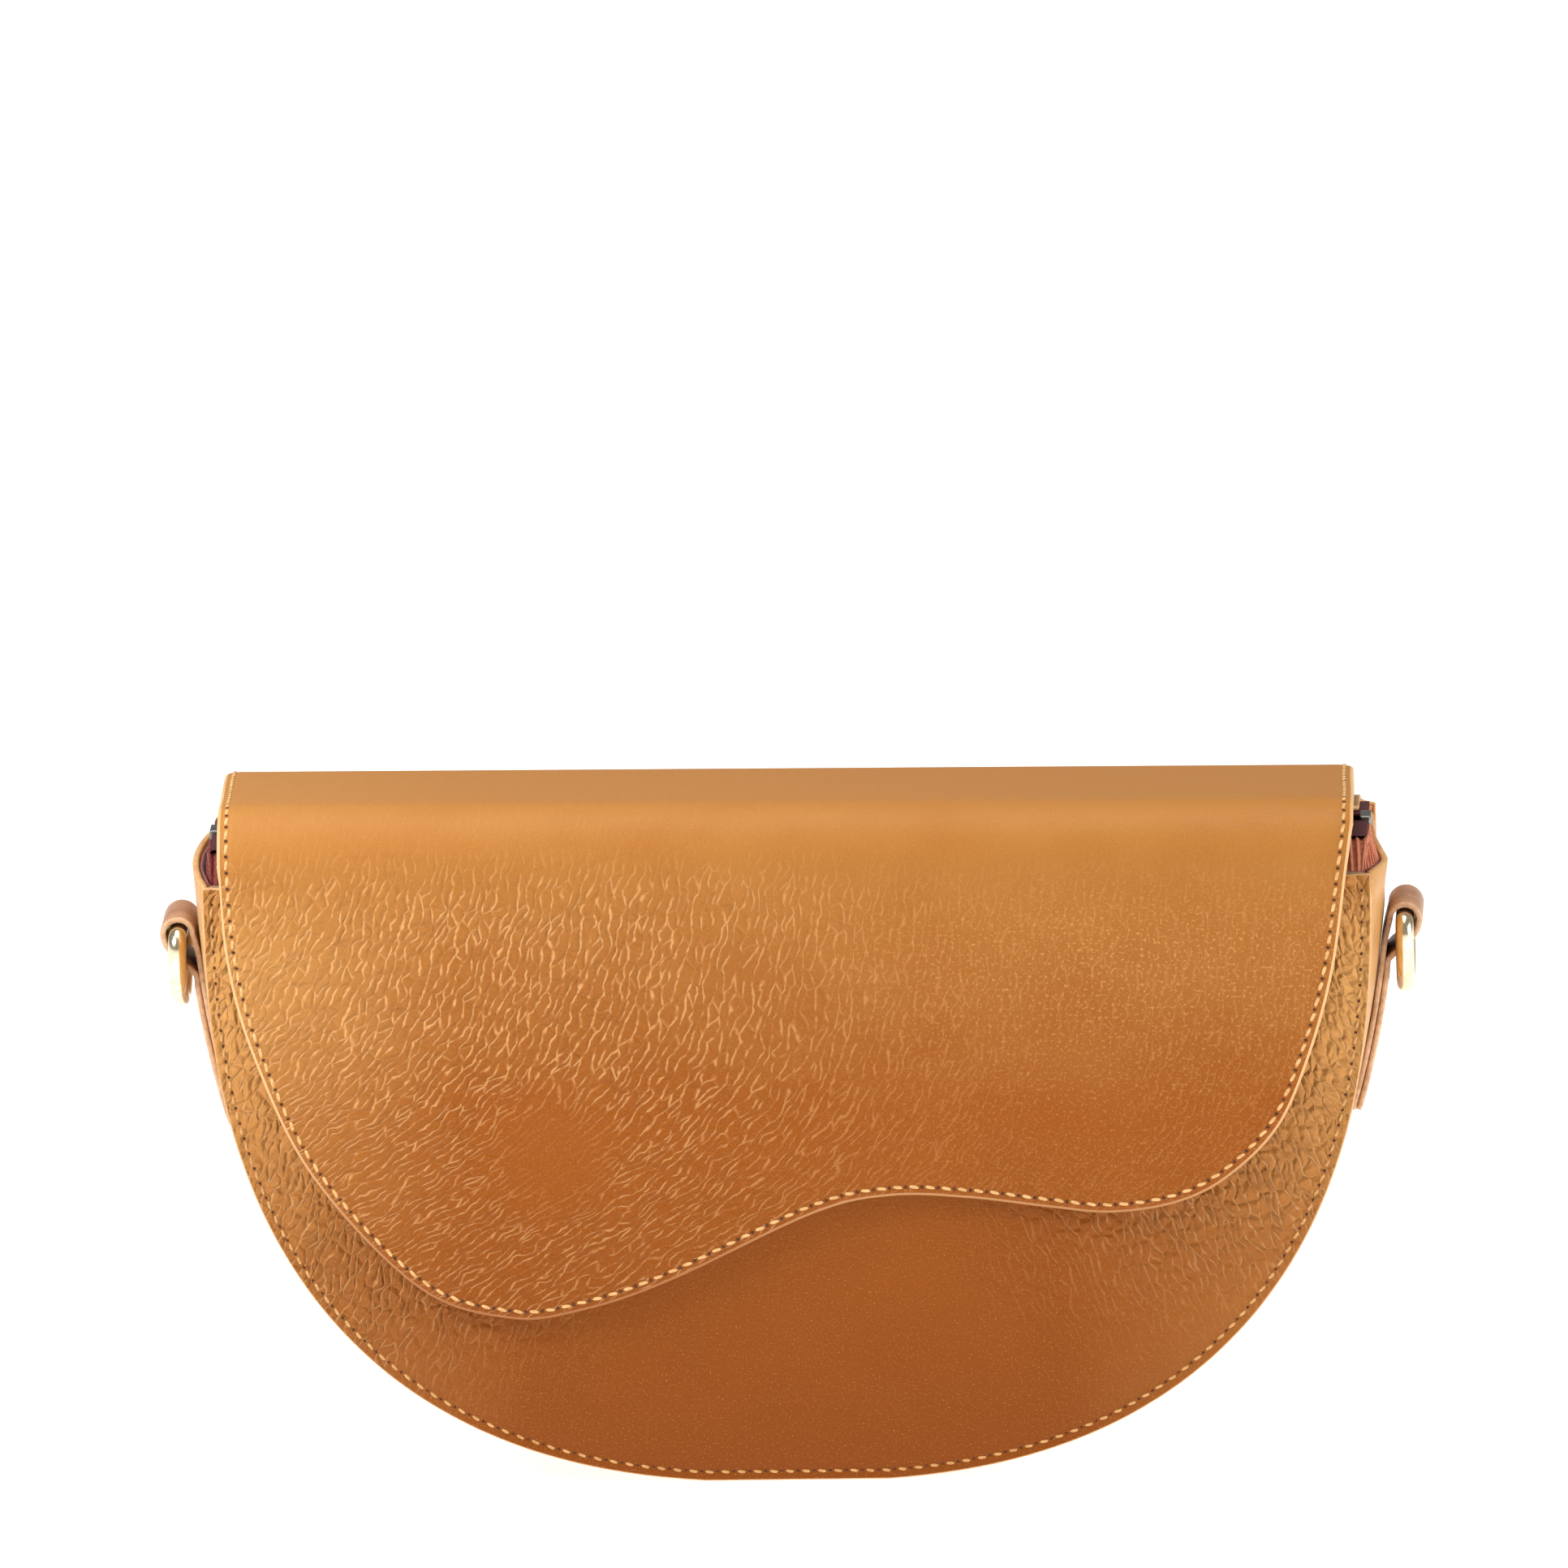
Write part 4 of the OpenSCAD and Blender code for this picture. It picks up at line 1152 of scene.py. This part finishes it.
def make_end_tab(name, sign):
    """A small hide tab folded over the zip's end, with round corners and a bar of stitches."""
    near, far = END_HIGH.x - END_TAB_START, END_HIGH.x - END_TAB_STOP
    middle = (near + far) / 2
    half_l, half_w = (far - near) / 2 - FACING_BULGE, END_HIGH.y - FACING_BULGE
    points, flats = [], []
    steps, turns = 8, 48
    for i in range(steps + 1):
        for j in range(turns):
            turn = 2 * math.pi * j / turns
            across, along = math.cos(turn), math.sin(turn)
            reach = (abs(across) ** 6 + abs(along) ** 6) ** (-1 / 6) * (1 - i / (steps + 1))
            x = middle + half_l * reach * across
            y = half_w * reach * along
            drop = 0.5 * smooth_step(x, near + 2, far)
            points.append((sign * x, y, END_HIGH.z - drop))
            flats.append((x, y))
    points.append((sign * middle, 0, END_HIGH.z - 0.2))
    flats.append((middle, 0))
    piece = hide_sheet(
        name, points, fan_faces(steps + 1, turns, closed=True), FACING_T, FACING_BULGE,
        [FACING_HIDE, EDGE_PAINT], flats, sign < 0,
    )
    # Flat stitches, which the pull tab passes over
    line = [((sign * (near + 2.2), y, END_HIGH.z - 0.06), (0, 0, 1)) for y in range(-9, 10, 2)]
    stitches = seam(name + "_seam", line, pitch=3.0, thick=0.24)
    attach(piece, "bag")
    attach(stitches, "bag")
    return piece


# Thin plated hide round the zip, browner than the flap and satin
FACING_HIDE = grained("Facing_cowhide", "#B98A4C", "#96693A", 0.6, 0.04, 0.5, Coat_Weight=0.1)
make_facing("Zip_facing_front", "zip_facing_front", -1, PANEL_TOP, 4.5, 4.5)
make_facing("Zip_facing_rear", "zip_facing_rear", 1, BACK_TOP, 4.5, 0.5)
make_tape("Zip_tape_front", "zip_tape_front", -1)
make_tape("Zip_tape_rear", "zip_tape_rear", 1)
end_tab = make_end_tab("Zip_end_tab_right", 1)
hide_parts("zip_end_tabs")
make_end_tab("Zip_end_tab_left", -1)


# Lining: cotton on both panels and round the gusset, gathered where it meets the zip's ends

def make_inner(name, node, sign, top, thickness, slack, material):
    """A board or a lining inside a panel, a little uneven by that slack."""
    low, high = node_box(node)
    level = top - 0.2
    outline = moon_line(1.7, 120)
    if top > PANEL_TOP:
        outline = [(outline[0][0], level)] + outline + [(outline[-1][0], level)]
    face = min(abs(low.y), abs(high.y)) + 0.05
    points, flats = [], []
    rings = 16
    for i in range(rings):
        for x, z in inward(outline, level, 1 - (i / rings) ** 1.1, INNER_CORNER):
            wave = math.sin(x / 9 + z / 14) * math.sin(z / 11 - x / 23) * min(1, i / 3)
            points.append((x, sign * (face + slack * (1 + wave)), z))
            flats.append((x, z))
    points.append((0, sign * (face + slack), level))
    flats.append((0, top))
    faces = fan_faces(rings, len(outline))
    piece = hide_sheet(name, points, faces, thickness, 0.1, [material], flats, sign > 0)
    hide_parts(node)
    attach(piece, "bag")


def make_gather(name, sign, material, depth):
    """The gusset's lining where it is drawn in over the open end: pleats that run from that
    depth inside the rim, round both corners, up to the zip's tapes."""
    def open_end(x, half, out):
        """A line across the open end, and a little way back along both its sides."""
        along = even_steps(x - 9, x, 5)[:-1]
        line = [(back, -half) for back in along]
        line += [(x + out(y), y) for y in even_steps(-half, half, 28)]
        line += [(back, half) for back in reversed(along)]
        return curve_through(line, 12)

    deep = 28.2
    rim_x = half_moon(0, GUSSET_T + 0.5)[0]
    rim = open_end(rim_x, deep, lambda y: crown(y, PANEL_TOP, sign) - 1.5 * (abs(y) / deep) ** 8)
    zip_end = open_end(TAPE_HIGH.x - 0.6, TAPE_HIGH.y - 0.8, lambda y: 0)
    points, flats = [], []
    shares = even_steps(0, 1, 14)
    for share in shares:
        for low, high, far in zip(rim, zip_end, lengths_along(rim)):
            place = low.lerp(high, share)
            level = PANEL_TOP - depth
            level += (TAPE_LOW.z - 0.3 - level) * smooth_step(share, -0.25, 1.1)
            turn = 4.2 * (far + 1.4 * share) + 1.5 * math.sin(far * 0.7)
            pleat = math.sin(turn) * (0.3 + 0.3 * share)
            away = (low - high).normalized() * pleat
            points.append((sign * (place.x + away.x), place.y + away.y, level + 0.5 * pleat))
            flats.append((far, 8 * share))
    faces = grid_faces(len(shares), len(rim))
    piece = hide_sheet(name, points, faces, 0.4, 0.1, [material], flats, sign < 0)
    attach(piece, "bag")


# The same cotton, painted lighter and coral as painted light at the open right end
GATHER_PAINTED_LIGHT = woven("Gathered_cotton_lining_painted_light", "#E89C78", "#A24E34", 0.5, 0.1, 0.9, (1, 2))
make_inner("Front_lining", "front_lining", -1, PANEL_TOP, 0.45, 0.25, LINING)
make_inner("Back_lining", "back_lining", 1, BACK_TOP, 0.45, 0.25, LINING)
make_inner("Front_board", "front_board", -1, PANEL_TOP, 0.7, 0.0, BOARD)
make_inner("Back_board", "back_board", 1, BACK_TOP, 0.7, 0.0, BOARD)
lining_band = make_band(
    "Gusset_lining", GUSSET_T + 0.25, 27.9, 0.5, 0.1, lambda y: PANEL_TOP, [LINING], 0.25,
)
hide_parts("gusset_lining")
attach(lining_band, "bag")
make_gather("Lining_gather_left", -1, LINING, 12.0)
make_gather("Lining_gather_right", 1, GATHER_PAINTED_LIGHT, 1.2)


# Hard pieces that keep the frame's own shape, with their edges broken

for node, material, bevel in (
    ("snap_sockets", GOLD, 0.35), ("snap_studs", GOLD, 0.35), ("zip_slider", GOLD, 0.2),
    ("zip_puller", GOLD, 0.25), ("snap_socket_backplates", STEEL, 0.12),
    ("snap_stud_backplates", STEEL, 0.12), ("snap_magnets", MAGNET, 0.15),
    ("zip_teeth_front", TEETH, 0.45), ("zip_teeth_rear", TEETH, 0.45), ("zip_stops", STEEL, 0.5),
):
    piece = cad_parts[node]
    piece.data.materials.clear()
    piece.data.materials.append(material)
    weld = piece.modifiers.new("Weld", "WELD")
    weld.merge_threshold = 0.01 * MM
    edge = piece.modifiers.new("Edges", "BEVEL")
    edge.width = bevel * MM
    edge.segments = 3
    edge.limit_method = "ANGLE"
    edge.angle_limit = math.radians(35)
    edge.harden_normals = True


# Stage: a pale floor and broad soft lights, the strongest from the upper left

# Colours come out as the camera's standard curve gives them, so that white stays white
bpy.context.scene.view_settings.view_transform = "Standard"

# Matt white paint, lit a little from within, so that the floor stays pale all over
floor_material, floor_shader = new_material("Pale_floor", Roughness=0.9)
floor_shader.inputs["Base Color"].default_value = linear("#D8D8D8")
floor_shader.inputs["Emission Color"].default_value = linear("#FFFFFF")
floor_shader.inputs["Emission Strength"].default_value = 0.85
bpy.ops.mesh.primitive_plane_add(size=12, location=(0, 0, -0.0002))
floor = bpy.context.object
floor.name = "Floor"
floor.data.materials.append(floor_material)

world = bpy.data.worlds.new("Studio")
world.use_nodes = True
background = world.node_tree.nodes["Background"]
background.inputs["Color"].default_value = linear("#FFFFFF")
background.inputs["Strength"].default_value = 0.295
bpy.context.scene.world = world


# What the lights are turned to, in metres
BAG_MIDDLE = Vector((0.02, -0.03, 0.08))


def softbox(name, watts, size, place):
    light = bpy.data.lights.new(name, "AREA")
    light.energy = watts
    light.size = size
    lamp = bpy.data.objects.new(name, light)
    bpy.context.scene.collection.objects.link(lamp)
    lamp.location = place
    way = BAG_MIDDLE - lamp.location
    lamp.rotation_euler = way.to_track_quat("-Z", "Y").to_euler()


# The key stands high at the left front, so that the light falls off to the lower right. A weak
# one on the right lights the gusset and the cut edges, and one above lights the flap's top.
softbox("Key", 2.12, 0.25, (-0.38, -0.25, 0.4))
softbox("Right_fill", 4.8, 0.5, (0.85, -0.3, 0.35))
softbox("Top", 9.0, 0.8, (-0.1, 0.0, 1.2))
